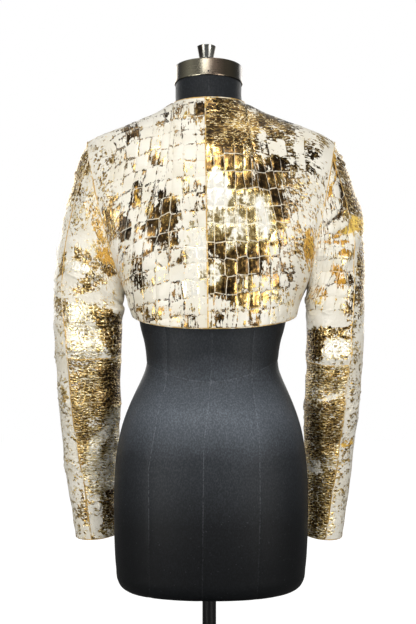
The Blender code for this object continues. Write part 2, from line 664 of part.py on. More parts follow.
def add_sleeve(name, shape):
    """The outer sleeve, and the under sleeve in two pieces that meet at the elbow seam."""
    read = shape.profile.read
    elbow = shape.sleeve.elbow_seam
    upper = [mix(shape.top, elbow, row / UPPER_SLEEVE_ROWS) for row in range(UPPER_SLEEVE_ROWS + 1)]
    lower = [mix(elbow, shape.bottom, row / LOWER_SLEEVE_ROWS) for row in range(LOWER_SLEEVE_ROWS + 1)]

    def back_seam(height):
        return read("back_seam", height)

    def front_seam(height):
        return read("front_seam", height)

    def front_seam_before_outer_point(height):
        return read("front_seam", height) - 360

    add_sleeve_panel(
        f"outer_sleeve_{name}",
        shape,
        OUTER_SLEEVE_COLUMNS,
        front_seam_before_outer_point,
        back_seam,
        upper + lower[1:],
        IVORY_LEATHER,
    )
    for part, heights in (("upper", upper), ("lower", lower)):
        add_sleeve_panel(
            f"under_sleeve_{part}_{name}",
            shape,
            UNDER_SLEEVE_COLUMNS,
            back_seam,
            front_seam,
            heights,
            GOLD_LEATHER,
        )


def add_jacket():
    """All ten pieces of the jacket."""
    halves = {
        "left": (BodyHalf(1, LEFT_ARMHOLE), Sleeve(LEFT_SLEEVE, LEFT_FOLDS, LEFT_ELBOW_SEAM)),
        "right": (BodyHalf(-1, RIGHT_ARMHOLE), Sleeve(RIGHT_SLEEVE, RIGHT_FOLDS, RIGHT_ELBOW_SEAM)),
    }
    for name, (half, sleeve) in halves.items():
        shape = SleeveShape(sleeve, half)
        back_finish = IVORY_LEATHER if name == "left" else GOLD_LEATHER
        add_body_panel(f"back_{name}", half, half.back_grid(), shape, -1, back_finish)
        add_body_panel(f"front_{name}", half, half.front_grid(), shape, 1, IVORY_LEATHER)
        add_sleeve(name, shape)


def form_rings():
    """Heights of the form's rings: close together where it turns over at the bottom, waist and shoulders."""
    heights = [row.height for row in FORM_SECTIONS]
    filled = []
    for low, high in zip(heights, heights[1:]):
        pieces = max(1, round((high - low) / FORM_RING_SPACING))
        filled += [mix(low, high, piece / pieces) for piece in range(pieces)]
    return filled + [heights[-1]]


def add_form():
    """The dress form: one smooth closed body from the hip line to the top of the neck."""
    points, faces = [], []
    heights = form_rings()
    for height in heights:
        near_waist = math.exp(-(((height - WAIST_HEIGHT) / WAIST_SPREAD) ** 2))
        for segment in range(FORM_SEGMENTS):
            angle = math.tau * segment / FORM_SEGMENTS
            point = ring_point(FORM, angle, height)
            point.z -= WAIST_DIP * near_waist * max(math.cos(angle), 0) ** WAIST_DIP_POWER
            points.append(point)
    for ring in range(len(heights) - 1):
        for segment in range(FORM_SEGMENTS):
            after = (segment + 1) % FORM_SEGMENTS
            low, high = ring * FORM_SEGMENTS, (ring + 1) * FORM_SEGMENTS
            faces.append((low + segment, low + after, high + after, high + segment))
    faces.append(tuple(range(FORM_SEGMENTS)))
    faces.append(tuple((len(heights) - 1) * FORM_SEGMENTS + s for s in range(FORM_SEGMENTS)))
    add_object("dress_form", points, faces, BLACK_JERSEY)


def add_turned(name, profile, finish, axis_x=0.0):
    """A solid turned about an upright axis from (radius, height) pairs, listed from bottom to top."""
    points, faces = [], []
    for radius, height in profile:
        for segment in range(ROUND_SEGMENTS):
            angle = math.tau * segment / ROUND_SEGMENTS
            points.append((axis_x + radius * math.cos(angle), radius * math.sin(angle), height))
    for ring in range(len(profile) - 1):
        for segment in range(ROUND_SEGMENTS):
            after = (segment + 1) % ROUND_SEGMENTS
            low, high = ring * ROUND_SEGMENTS, (ring + 1) * ROUND_SEGMENTS
            faces.append((low + segment, low + after, high + after, high + segment))
    faces.append(tuple(range(ROUND_SEGMENTS)))
    faces.append(tuple((len(profile) - 1) * ROUND_SEGMENTS + s for s in range(ROUND_SEGMENTS)))
    add_object(name, points, faces, finish)


def rounded_corner(radius, height, rounding):
    """The outer top corner of a turned profile, as three points of a quarter round."""
    halfway = rounding * (1 - math.sqrt(0.5))
    return [
        (radius, height - rounding),
        (radius - halfway, height - halfway),
        (radius - rounding, height),
    ]


def add_stand():
    """The weighted round base with its boss, and the pole that carries the form."""
    add_turned(
        "stand_base",
        [
            (BASE_RADIUS, 0),
            *rounded_corner(BASE_RADIUS, BASE_HEIGHT, BASE_ROUNDING),
            (BOSS_RADIUS, BASE_HEIGHT),
            (BOSS_RADIUS - BOSS_TAPER, BASE_HEIGHT + BOSS_HEIGHT),
        ],
        BLACK_STEEL,
    )
    add_turned(
        "stand_pole",
        [
            (POLE_RADIUS, BASE_HEIGHT + BOSS_HEIGHT + SEAM_GAP),
            (POLE_RADIUS, TORSO_BOTTOM - SEAM_GAP),
        ],
        BLACK_STEEL,
    )


def add_neck_cap():
    """The metal cap on the neck and the flared finial that stands on it."""
    cap_bottom = NECK_TOP + SEAM_GAP
    cap_top = cap_bottom + CAP_HEIGHT
    add_turned(
        "neck_cap",
        [(CAP_RADIUS, cap_bottom), *rounded_corner(CAP_RADIUS, cap_top, CAP_ROUNDING)],
        BRUSHED_NICKEL,
        CAP_X,
    )
    foot = cap_top + SEAM_GAP
    add_turned(
        "neck_finial",
        [
            (FINIAL_STEM_RADIUS, foot),
            (FINIAL_STEM_RADIUS, foot + FINIAL_STEM_HEIGHT),
            (FINIAL_STEM_RADIUS + FINIAL_STEP, foot + FINIAL_STEM_HEIGHT + FINIAL_STEP),
            *rounded_corner(FINIAL_TOP_RADIUS, foot + FINIAL_HEIGHT, FINIAL_ROUNDING),
        ],
        BRUSHED_NICKEL,
        FINIAL_X,
    )


def main():
    for leftover in list(bpy.data.objects):
        bpy.data.objects.remove(leftover)
    add_stand()
    add_form()
    add_neck_cap()
    add_jacket()


main()
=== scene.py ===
"""The looks of a cropped leather jacket on its dress form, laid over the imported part."""

import logging
import math
from dataclasses import dataclass, field
from enum import Enum
from typing import Any, ClassVar, Sequence

import bmesh
import bpy
import numpy as np
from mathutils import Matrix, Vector


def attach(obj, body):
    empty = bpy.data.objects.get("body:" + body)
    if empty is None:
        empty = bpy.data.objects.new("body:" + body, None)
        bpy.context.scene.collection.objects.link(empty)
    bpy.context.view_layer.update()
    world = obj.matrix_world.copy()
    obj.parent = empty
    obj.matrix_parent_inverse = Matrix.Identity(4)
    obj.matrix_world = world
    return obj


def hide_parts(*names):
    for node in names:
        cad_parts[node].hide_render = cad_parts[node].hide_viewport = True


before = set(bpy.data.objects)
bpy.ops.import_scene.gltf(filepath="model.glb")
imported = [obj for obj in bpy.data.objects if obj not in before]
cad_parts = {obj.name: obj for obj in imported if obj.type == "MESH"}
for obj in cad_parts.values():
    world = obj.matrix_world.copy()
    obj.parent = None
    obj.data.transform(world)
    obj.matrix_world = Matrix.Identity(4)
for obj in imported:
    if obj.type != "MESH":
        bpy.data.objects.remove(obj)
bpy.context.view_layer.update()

Colour = tuple[float, float, float]
Stops = tuple[tuple[float, Colour], ...]

MM = 0.001
SAME_POINT = 2e-5
SEAM_REACH = 0.006
FOIL_EDGE = (0.47, 0.53)

log = logging.getLogger("jacket")
logging.basicConfig(level=logging.INFO, format="%(name)s: %(message)s")


class Side(Enum):
    """The wearer's left or right, with the sign of x there."""

    LEFT = 1
    RIGHT = -1

    @property
    def word(self) -> str:
        """The side's name as the part's nodes spell it."""
        return self.name.lower()


class Border(Enum):
    """The four borders of a panel's grid, as (row or column, first or last)."""

    FIRST_ROW = ("row", 0)
    LAST_ROW = ("row", -1)
    FIRST_COLUMN = ("column", 0)
    LAST_COLUMN = ("column", -1)


class Value:
    """A node's output that stands in a sum as a number does."""

    def __init__(self, graph: "Graph", socket: bpy.types.NodeSocket) -> None:
        """Keeps the socket and the graph that its sums are added to."""
        self.graph = graph
        self.socket = socket

    def out(self, key: str | int) -> "Value":
        """Another output of the same node."""
        return Value(self.graph, self.socket.node.outputs[key])

    def __add__(self, other: "Value | float") -> "Value":
        """self + other."""
        return self.graph.maths("ADD", self, other)

    __radd__ = __add__

    def __mul__(self, other: "Value | float") -> "Value":
        """self * other."""
        return self.graph.maths("MULTIPLY", self, other)

    __rmul__ = __mul__

    def __sub__(self, other: "Value | float") -> "Value":
        """self - other."""
        return self.graph.maths("SUBTRACT", self, other)

    def __rsub__(self, other: "Value | float") -> "Value":
        """other - self."""
        return self.graph.maths("SUBTRACT", other, self)

    def __abs__(self) -> "Value":
        """self without its sign."""
        return self.graph.maths("ABSOLUTE", self)


class Graph:
    """A node tree, shader or geometry, and the few ways in which its nodes are added."""

    def __init__(self, tree: bpy.types.NodeTree) -> None:
        """Starts from an empty tree."""
        self.tree = tree
        tree.nodes.clear()

    def node(
        self, kind: str, settings: dict | None = None, inputs: dict | None = None, out: str | int = 0
    ) -> Value | None:
        """Adds one node.

        Args:
            kind: The node's type name.
            settings: Its own settings, set first; "stops" fills a colour ramp.
            inputs: Values, colours or links for its sockets, by name or number.
            out: Which of its outputs is wanted.

        Returns:
            That output, or None from a node that has none.
        """
        made = self.tree.nodes.new(kind)
        for name, value in (settings or {}).items():
            if name == "stops":
                self._fill_ramp(made.color_ramp, value)
            else:
                setattr(made, name, value)
        for key, value in (inputs or {}).items():
            socket = made.inputs[key]
            if isinstance(value, Value):
                self.tree.links.new(value.socket, socket)
            else:
                socket.default_value = (*value, 1.0) if socket.type == "RGBA" else value
        return Value(self, made.outputs[out]) if made.outputs else None

    @staticmethod
    def _fill_ramp(ramp: bpy.types.ColorRamp, stops: Stops) -> None:
        """Gives a colour ramp its stops.

        Args:
            ramp: A new ramp.
            stops: The places from 0 to 1, and the colours there.
        """
        while len(ramp.elements) < len(stops):
            ramp.elements.new(0.5)
        for element, (place, colour) in zip(ramp.elements, stops):
            element.position = place
            element.color = (*colour, 1.0)

    def maths(self, operation: str, first: "Value | float", second: "Value | float" = 0.0) -> Value:
        """A Math node on one or two values."""
        return self.node("ShaderNodeMath", {"operation": operation}, {0: first, 1: second})

    def clamp(self, value: Value) -> Value:
        """The value kept between 0 and 1."""
        return self.node("ShaderNodeClamp", None, {0: value})

    def step(self, value: Value, low: float, high: float) -> Value:
        """A soft step: 0 below low and 1 above high."""
        inputs = {"Value": value, "From Min": low, "From Max": high}
        return self.node("ShaderNodeMapRange", {"interpolation_type": "SMOOTHSTEP"}, inputs)

    def vector(self, operation: str, first: Any, second: Any) -> Value:
        """A Vector Math node on two vectors, or a vector and a scale."""
        key = 3 if operation == "SCALE" else 1
        return self.node("ShaderNodeVectorMath", {"operation": operation}, {0: first, key: second})

    def blend(self, share: Value, first: Value | Colour, second: Value | Colour) -> Value:
        """A mix of two colours: first where share is 0, second where it is 1."""
        return self.node("ShaderNodeMix", {"data_type": "RGBA"}, {0: share, 6: first, 7: second}, 2)

    def ramp(self, stops: Stops, at: Value) -> Value:
        """A colour ramp read at a value."""
        return self.node("ShaderNodeValToRGB", {"stops": stops}, {0: at})

    def place(self) -> Value:
        """The place on the object, in metres."""
        return self.node("ShaderNodeTexCoord", out="Object")

    def stored(self, name: str, out: int = 2) -> Value:
        """A number stored for a mesh's points, or with out 1 a vector."""
        return self.node("ShaderNodeAttribute", {"attribute_name": name}, out=out)

    def noise(self, at: Value, scale: float, detail: float = 2.0, key: str | int = 0) -> Value:
        """A Noise texture, as its value or with key "Color" as three values."""
        return self.node("ShaderNodeTexNoise", None, {"Vector": at, "Scale": scale, "Detail": detail}, key)

    def cells(self, at: Value, scale: float, unevenness: float) -> Value:
        """How far inside its cell of a flat Voronoi pattern a point is, in cells."""
        return self._voronoi("DISTANCE_TO_EDGE", at, scale, unevenness, 0)

    def lot(self, at: Value, scale: float, unevenness: float) -> Value:
        """A random number for each cell of a flat Voronoi pattern, from -0.5 to 0.5."""
        colour = self._voronoi("F1", at, scale, unevenness, "Color")
        return self.node("ShaderNodeSeparateColor", None, {0: colour}) - 0.5

    def _voronoi(self, kind: str, at: Value, scale: float, unevenness: float, out: str | int) -> Value:
        """One output of a flat Voronoi texture."""
        inputs = {"Vector": at, "Scale": scale, "Randomness": unevenness}
        return self.node("ShaderNodeTexVoronoi", {"voronoi_dimensions": "2D", "feature": kind}, inputs, out)


def new_material(name: str) -> tuple[bpy.types.Material, Graph]:
    """Makes an empty node material.

    Args:
        name: Its name.

    Returns:
        The material and its graph.
    """
    material = bpy.data.materials.new(name)
    material.use_nodes = True
    return material, Graph(material.node_tree)


def finish_surface(graph: Graph, inputs: dict, relief: tuple[Value, float, float] | None = None) -> None:
    """Ends a material in a Principled shader.

    Args:
        graph: The material's graph.
        inputs: The shader's inputs.
        relief: A bump's height, its strength and its depth, if there is one.
    """
    if relief:
        bump = dict(zip(("Height", "Strength", "Distance"), relief))
        inputs = {**inputs, "Normal": graph.node("ShaderNodeBump", None, bump)}
    shader = graph.node("ShaderNodeBsdfPrincipled", None, inputs)
    graph.node("ShaderNodeOutputMaterial", None, {"Surface": shader})


@dataclass(frozen=True)
class CrocPattern:
    """The embossing: large four-sided tiles at the centre back, small rounded scales elsewhere.

    The geometry tree and the leather material both draw it, so relief and colour agree.
    """

    tile_unevenness: float = 0.24
    scale_unevenness: float = 0.80
    scale_size: tuple[float, float] = (0.0082, 0.0068)
    waver_scale: float = 40.0
    tile_waver: float = 0.20
    tile_groove: float = 0.045
    scale_groove: float = 0.11
    tile_verge: tuple[float, float] = (0.02, 0.11)
    tile_swell: float = 0.26
    scale_swell: float = 0.36
    scale_height: float = 0.55
    tile_heart: tuple[float, float] = (0.02, 0.46)
    scale_heart: float = 0.22

    def draw(
        self, graph: Graph, hide_at: Value, tile_at: Value, tiles: Value, plain: Value
    ) -> dict[str, Value]:
        """Adds the pattern's nodes.

        Args:
            graph: The tree that they go to.
            hide_at: The place on the flat hide, in metres.
            tile_at: The place counted in tiles.
            tiles: 1 where the tiles are, 0 where the scales are.
            plain: 1 where the hide is left smooth.

        Returns:
            "groove", 1 at the bottom of a line; "verge", 1 in a wider band along it; "swell", the height
            between the lines from 0 to 1; "heart", 1 in the middle of a tile or scale; and "cell", the
            place in tiles that a tile's number is read at.
        """
        waver = graph.vector("SUBTRACT", graph.noise(hide_at, self.waver_scale, 2, "Color"), (0.5, 0.5, 0.5))
        cell = graph.vector("ADD", tile_at, graph.vector("SCALE", waver, self.tile_waver))
        tile = graph.cells(cell, 1.0, self.tile_unevenness)
        stretch = (1 / self.scale_size[0], 1 / self.scale_size[1], 1.0)
        scale_at = graph.vector("ADD", graph.vector("MULTIPLY", hide_at, stretch), waver)
        scale = graph.cells(scale_at, 1.0, self.scale_unevenness)
        shown = 1 - plain

        def either(small: Value, large: Value) -> Value:
            """What the scales have, or where the tiles are, what they have."""
            return (small + (large - small) * tiles) * shown

        tile_line = 1 - graph.step(tile, 0.0, self.tile_groove)
        scale_line = 1 - graph.step(scale, 0.0, self.scale_groove)
        round_top = graph.step(scale, 0.0, self.scale_swell) * self.scale_height
        return {
            "groove": either(scale_line, tile_line),
            "verge": (1 - graph.step(tile, *self.tile_verge)) * tiles * shown,
            "swell": either(round_top, graph.step(tile, 0.0, self.tile_swell)),
            "heart": either(graph.step(scale, 0.0, self.scale_heart), graph.step(tile, *self.tile_heart)),
            "cell": cell,
        }


@dataclass(frozen=True)
class CrocLeather:
    """Ivory leather, embossed, with a worn gold foil over parts of it."""

    name: str
    pattern: CrocPattern = CrocPattern()
    ivory: Colour = (0.800, 0.768, 0.684)
    groove_colour: Colour = (0.50, 0.43, 0.30)
    cut_edge: Colour = (0.52, 0.38, 0.17)
    suede: Colour = (0.62, 0.55, 0.43)
    orange: Colour = (0.60, 0.30, 0.024)
    umber: Colour = (0.17, 0.088, 0.014)
    # A painted highlight on the orange foil.
    orange_highlight: Colour = (0.90, 0.62, 0.085)
    # From dark brown, partly painted dark reflection, to near white, painted highlight.
    gold: Stops = (
        (0.0, (0.018, 0.011, 0.004)), (0.24, (0.088, 0.049, 0.015)), (0.42, (0.30, 0.178, 0.052)),
        (0.58, (0.61, 0.43, 0.14)), (0.76, (0.94, 0.79, 0.45)), (1.0, (1.0, 0.97, 0.88)),
    )
    shading: Stops = ((0.3, (0.90, 0.875, 0.82)), (0.6, (1.0, 1.0, 1.0)))
    blotches: tuple[float, float] = (62, 4)
    flecks: tuple[float, float] = (200, 4)
    grains: tuple[float, float] = (900, 1)
    sheens: tuple[float, float] = (24, 1)
    chips_per_metre: float = 250.0
    gap_edge: tuple[float, float] = (0.42, 0.58)
    inner_edge: tuple[float, float] = (0.50, 0.85)
    crease_width: float = 0.030
    warm_edge: tuple[float, float] = (0.30, 0.85)
    umber_edge: tuple[float, float] = (-0.16, 0.04)
    # Tones over which the orange turns to its painted highlight.
    orange_highlight_edge: tuple[float, float] = (0.62, 0.92)
    # Tones over which the foil is a painted highlight, less metallic.
    highlight_edge: tuple[float, float] = (0.72, 0.95)
    rim: tuple[float, float] = (0.0008, 0.0016)
    relief: tuple[float, float] = (0.6, 0.0010)

    def material(self) -> bpy.types.Material:
        """The finished material.

        Returns:
            A material that reads the numbers stored with each panel.
        """
        made, graph = new_material(self.name)
        foil_left, tone, orange, tiles, plain, edge, inside = (
            graph.stored(key) for key in ("foil", "tone", "orange", "tiles", "plain", "edge", "inside")
        )
        hide_at, tile_at = graph.stored("hide_at", 1), graph.stored("tile_at", 1)
        lines = self.pattern.draw(graph, hide_at, tile_at, tiles, plain)
        groove, verge = lines["groove"], lines["verge"]

        def stretched(across: float, up: float, scale: float, detail: float) -> Value:
            """A noise with its place multiplied first, so that it lies in streaks."""
            return graph.noise(graph.vector("MULTIPLY", hide_at, (across, up, 1.0)), scale, detail)

        # Uneven fields about 0, by which the foil has worn and its colour changes
        chance = graph.lot(lines["cell"], 1.0, self.pattern.tile_unevenness)
        bend = graph.vector("SCALE", graph.noise(hide_at, 420, 2, "Color"), 0.0022)
        chip = graph.lot(graph.vector("ADD", hide_at, bend), self.chips_per_metre, 1.0)
        kinds = self.blotches, self.flecks, self.grains, self.sheens
        blotch, fleck, grain, sheen = (graph.noise(hide_at, *sizes) - 0.5 for sizes in kinds)
        upright, level = stretched(1.0, 0.14, 430, 3), stretched(0.3, 1.0, 360, 4)
        streak = level + (upright - level) * tiles * (1 - plain) - 0.5
        crumple = stretched(0.40, 1.0, 170, 4) - 0.5

        # Where foil is left
        specks = fleck * 0.9 + grain * 0.4 + chip * 0.52
        left = foil_left + blotch * 1.3 + specks * (1 - tiles * (1 - verge) * 0.5)
        left += streak * (0.7 + 0.9 * tiles) + chance * 0.6 * tiles
        kept = graph.step(left, *FOIL_EDGE)
        gaps = graph.step(stretched(1.0, 0.55, 130, 3), *self.gap_edge)
        foil = graph.step(left + verge * gaps * 0.55, *FOIL_EDGE)
        foil = graph.clamp(foil * (1 - groove * tiles * kept * 0.95))

        # The foil's colour, from dark brown to near white, and orange where it has rubbed thin; the dark
        # browns are partly painted dark reflection and the near whites painted highlight.
        inner = graph.step(left, *self.inner_edge)
        crease = 1 - graph.step(abs(crumple), 0.0, self.crease_width)
        # The sheen term is a painted broad reflection over the tiles.
        tone = tone * 0.8 + 0.04 + streak * 0.9 + blotch * 0.6 + fleck * 0.8 + sheen * 1.2 * tiles
        # Painted shading inside each tile and scale: darker in the middle, lighter towards the lines.
        tone += (0.5 - lines["heart"]) * (0.20 - 0.10 * tiles) * (1 - plain) + (1 - tiles) * 0.19
        tone += (1 - inner) * 0.10 * kept - (1 - kept) * 0.08
        # Painted highlights: lighter lines along the crumples of the foil.
        tone += (crease - 0.2) * (plain * 0.55 + (1 - tiles) * 0.46)
        warm = graph.step(orange + fleck * 1.6 + blotch, *self.warm_edge) * 0.92
        orange_and_highlight = graph.blend(graph.step(fleck + streak * 0.5, *self.umber_edge), self.umber, self.orange)
        # Painted highlight: where the tone is high, the orange turns bright.
        orange_and_highlight = graph.blend(graph.step(tone, *self.orange_highlight_edge), orange_and_highlight, self.orange_highlight)
        gold = graph.blend(warm, graph.ramp(self.gold, tone), orange_and_highlight)

        shade = graph.ramp(self.shading, graph.noise(hide_at, 26, 4) + grain * 0.2)
        ivory = graph.vector("MULTIPLY", shade, self.ivory)
        # The grooves are drawn darker on the ivory.
        ivory = graph.blend(groove * (0.10 + 0.16 * tiles), ivory, self.groove_colour)
        colour = graph.blend(foil, ivory, gold)
        rim = 1 - graph.step(edge, *self.rim)
        colour = graph.blend(rim * 0.5, colour, self.cut_edge)

        worn = foil * (1 - inside)
        firm = graph.clamp(0.22 + tiles * 0.4 + worn * 0.8)
        height = (lines["swell"] * (0.6 - 0.25 * tiles) - groove * 0.45) * firm + foil * 0.05
        height += fleck * 0.14 + streak * worn * 0.5 + grain * 0.10
        inputs = {
            "Base Color": graph.blend(inside, colour, self.suede),
            # Painted highlights are made less metallic so that they stay near white.
            "Metallic": worn * (0.9 - 0.8 * warm) * (1 - graph.step(tone, *self.highlight_edge) * 0.65),
            "Roughness": 0.42 - worn * (0.12 + 0.06 * tiles) + fleck * 0.3 + inside * 0.4,
            "Specular IOR Level": 0.5,
            "Coat Weight": 0.10,
            "Coat Roughness": 0.22,
        }
        finish_surface(graph, inputs, (height, *self.relief))
        return made


@dataclass(frozen=True)
class Jersey:
    """Matt charcoal jersey over the padded form, sewn in long panels, with painted light: a highlight over
    the hips, shade low down and above the waist, and shade at the sides.
    """

    name: str = "charcoal_jersey"
    cloth: Colour = (0.83, 0.95, 1.13)
    lint: Colour = (0.030, 0.032, 0.036)
    # Grey levels by height, painted light: painted shade low down, a painted highlight over the hips, painted
    # shade above the waist seam.
    fading: tuple[tuple[float, float], ...] = (
        (0.20, 0.006), (0.32, 0.009), (0.42, 0.034), (0.49, 0.125),
        (0.535, 0.070), (0.575, 0.026), (0.68, 0.019), (1.00, 0.019),
    )

    # Where the painted shade on the form's sides begins and where it is full, in |x|.
    side: tuple[float, float] = (0.05, 0.15)
    # Heights where the seam lines are painted brighter over the hips, and where they dim again above.
    seam_highlight_from: tuple[float, float] = (0.28, 0.36)
    seam_highlight_to: tuple[float, float] = (0.53, 0.58)
    seam_line: tuple[float, float] = (0.0002, 0.0009)
    seam_swell: float = 0.004
    relief: tuple[float, float] = (0.5, 0.0006)

    def material(self) -> bpy.types.Material:
        """The finished material.

        Returns:
            A material that reads the form's heights and its stored distance from the seams.
        """
        made, graph = new_material(self.name)
        at = graph.place()
        seam = abs(graph.stored("seam")) * SEAM_REACH
        knit_at = graph.vector("MULTIPLY", at, (1.0, 1.0, 0.62))
        knit = graph.noise(knit_at, 1500, 1) - 0.5
        heather = graph.noise(knit_at, 520, 3)
        broad = graph.noise(at, 9, 3) - 0.5
        lint = graph.step(graph.noise(at, 420, 0), 0.80, 0.84)
        x = graph.node("ShaderNodeSeparateXYZ", None, {0: at})
        height = x.out(2)
        # Painted shade: the cloth is darker towards the form's sides.
        side_shade = graph.step(abs(x), *self.side)
        stops = tuple((place, (grey, grey, grey)) for place, grey in self.fading)
        # The cloth's colour times the painted light by height: painted shade low down, a painted highlight
        # over the hips.
        painted_light_cloth = graph.vector("MULTIPLY", graph.ramp(stops, height + broad * 0.06), self.cloth)
        # The heather's level, with the painted shade at the sides taken off.
        level = (0.70 + graph.step(heather, 0.36, 0.72) * 0.55 + knit * 0.3) * (1 - side_shade * 0.40)
        # The seam lines are painted brighter over the hips and dimmer below and above, with the painted
        # highlight.
        below, above = graph.step(height, *self.seam_highlight_from), graph.step(height, *self.seam_highlight_to)
        worn = (0.25 + below * 0.95) * (1 - above * 0.6)
        line = (1 - graph.step(seam, *self.seam_line)) * graph.step(heather, 0.35, 0.55) * worn
        pale = graph.vector("SCALE", self.lint, line + lint * 0.7)
        inputs = {
            "Base Color": graph.vector("ADD", graph.vector("SCALE", painted_light_cloth, level), pale),
            "Roughness": 0.52 + knit * 0.2,
            "Specular IOR Level": 0.15,
        }
        finish_surface(graph, inputs, (knit * 0.5 + graph.step(seam, 0.0, self.seam_swell), *self.relief))
        return made


@dataclass(frozen=True)
class TurnedMetal:
    """Metal turned on a lathe, brushed round its axis, or painted.

    The painted reflections run across it in stripes from one side to the other, reach being half its width.
    """

    name: str
    colour: Colour
    metallic: float
    roughness: float
    brushing: float
    shine: float = 0.5
    reflection_bands: Stops = ((0.0, (1.0, 1.0, 1.0)), (1.0, (1.0, 1.0, 1.0)))
    reach: float = 0.0545
    smudged: float = 0.86

    def material(self) -> bpy.types.Material:
        """The finished material.

        Returns:
            A material that reads places on the object.
        """
        made, graph = new_material(self.name)
        at = graph.place()
        brushed = graph.noise(graph.vector("MULTIPLY", at, (0.04, 0.04, 1.0)), 2600, 2) - 0.5
        smudge = graph.noise(at, 40, 3)
        x = graph.node("ShaderNodeSeparateXYZ", None, {0: at})
        # Painted reflections: the colour is multiplied by stripes read across the piece along x.
        reflection_bands = graph.ramp(self.reflection_bands, x * (0.5 / self.reach) + 0.5)
        colour = graph.blend(smudge, tuple(c * self.smudged for c in self.colour), self.colour)
        inputs = {
            "Base Color": graph.vector("MULTIPLY", colour, reflection_bands),
            "Metallic": self.metallic,
            "Roughness": self.roughness + brushed * 0.22 * self.brushing + (smudge - 0.5) * 0.1,
            "Specular IOR Level": self.shine,
        }
        finish_surface(graph, inputs, (brushed * self.brushing + graph.noise(at, 900, 2) * 0.3, 0.25, 0.0002))
        return made


@dataclass(frozen=True)
class GiltEdge:
    """The turned edges and seams: ivory leather whose gold has rubbed thin."""

    name: str = "gilt_edge"
    ivory: Colour = (0.80, 0.74, 0.60)
    gold: Colour = (0.58, 0.36, 0.09)

    def material(self) -> bpy.types.Material:
        """The finished material.

        Returns:
            A material that reads places on the object.
        """
        made, graph = new_material(self.name)
        at = graph.place()
        rubbed = graph.step(graph.noise(at, 150, 3) + (graph.noise(at, 28, 2) - 0.5) * 0.7, 0.30, 0.56)
        inputs = {
            "Base Color": graph.blend(rubbed, self.ivory, self.gold),
            "Metallic": rubbed * 0.6,
            "Roughness": 0.48 - rubbed * 0.14,
        }
        finish_surface(graph, inputs, (rubbed, 0.3, 0.0004))
        return made


class Wall:
    """The two skins of a packed panel, each as a grid of rows and columns."""

    LONGEST_EDGE = 0.0036
    STEP = 0.01

    def __init__(self, node: str, rows: int, columns: int, corner: tuple[float, float, float]) -> None:
        """Finds the grids again in the panel's triangles.

        Args:
            node: The panel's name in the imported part.
            rows: The number of grid rows.
            columns: The number of grid columns.
            corner: Weights of |x|, y and z whose least sum marks the grid's first point.
        """
        mesh = merged_copy(node)
        self.points = np.array([v.co[:] for v in mesh.verts])
        self.rows, self.columns = rows, columns
        rim, cut = self._walk_rim(mesh)
        if len(rim) != 2 * (rows + columns) - 4:
            raise ValueError(f"{node}: {len(rim)} points lie along the cut edge")
        self.near: dict[int, set[int]] = {}
        for face in mesh.faces:
            if face not in cut:
                ring = {v.index for v in face.verts}
                for a in ring:
                    self.near.setdefault(a, set()).update(ring - {a})
        mesh.free()
        one, other = (np.array(side) for side in zip(*rim))
        places = np.abs(self.points[one] * (1, 0, 0)) + self.points[one] * (0, 1, 1)
        start = int(np.argmin(places @ np.array(corner)))
        one, other = np.roll(one, -start), np.roll(other, -start)
        if self._level(one[0], one[1]) < self._level(one[0], one[-1]):
            one, other = (np.roll(side[::-1], 1) for side in (one, other))
        self.inner, self.outer = sorted((self._grid(one), self._grid(other)), key=grid_area)

    def _level(self, a: int, b: int) -> float:
        """How level the line between two points is: 1 if it doesn't rise."""
        step = self.points[b] - self.points[a]
        return float(np.linalg.norm(step[:2]) / np.linalg.norm(step))

    def _walk_rim(self, mesh: bmesh.types.BMesh) -> tuple[list[tuple[int, int]], set]:
        """Walks the cut edge, from one short edge across the leather to the next.

        Args:
            mesh: The panel, with its doubles merged.

        Returns:
            The pairs of points across the leather, in order, and the cut edge's faces.
        """
        steady = [max(v.link_faces, key=lambda f: f.calc_area()).normal for v in mesh.verts]

        def crossing(a: bmesh.types.BMVert, b: bmesh.types.BMVert) -> float:
            """How surely a line between two points crosses the leather."""
            way = b.co - a.co
            return sum(abs(way.normalized().dot(steady[v.index])) for v in (a, b)) - way.length / self.STEP

        short = (e for e in mesh.edges if e.calc_length() < self.LONGEST_EDGE)
        first = max(short, key=lambda e: crossing(*e.verts))
        a, b = first.verts
        pairs, faces, came = [], set(), first.link_faces[0]
        while not pairs or (a, b) != tuple(first.verts):
            pairs.append((a.index, b.index))
            face = next(f for f in mesh.edges.get((a, b)).link_faces if f != came)
            third = next(v for v in face.verts if v not in (a, b))
            choices = []
            for shared in (a, b):
                beyond = next(f for f in mesh.edges.get((shared, third)).link_faces if f != face)
                fourth = next(v for v in beyond.verts if v not in (shared, third))
                pair = (fourth, third) if shared == a else (third, fourth)
                choices.append((crossing(third, fourth), pair, beyond))
            _, (a, b), came = max(choices, key=lambda c: c[0])
            faces.update((face, came))
        return pairs, faces

    def _grid(self, rim: np.ndarray) -> np.ndarray:
        """Walks a skin row by row.

        Args:
            rim: The skin's border points, from the first corner along the first row.

        Returns:
            The points as an array of rows, columns and x, y, z.
        """
        grid = [list(rim[: self.columns])]
        used = set(rim)
        for row in range(1, self.rows):
            line = [rim[-row]]
            for column in range(1, self.columns):
                found = self.near[grid[-1][column]] & self.near[line[-1]]
                if column < self.columns - 1 and row < self.rows - 1:
                    found -= used
                else:
                    found -= set(grid[-1]) | set(line)
                if len(found) != 1:
                    raise ValueError(f"row {row} column {column}: {len(found)} points fit")
                line.append(found.pop())
            used.update(line)
            grid.append(line)
        return self.points[np.array(grid)]


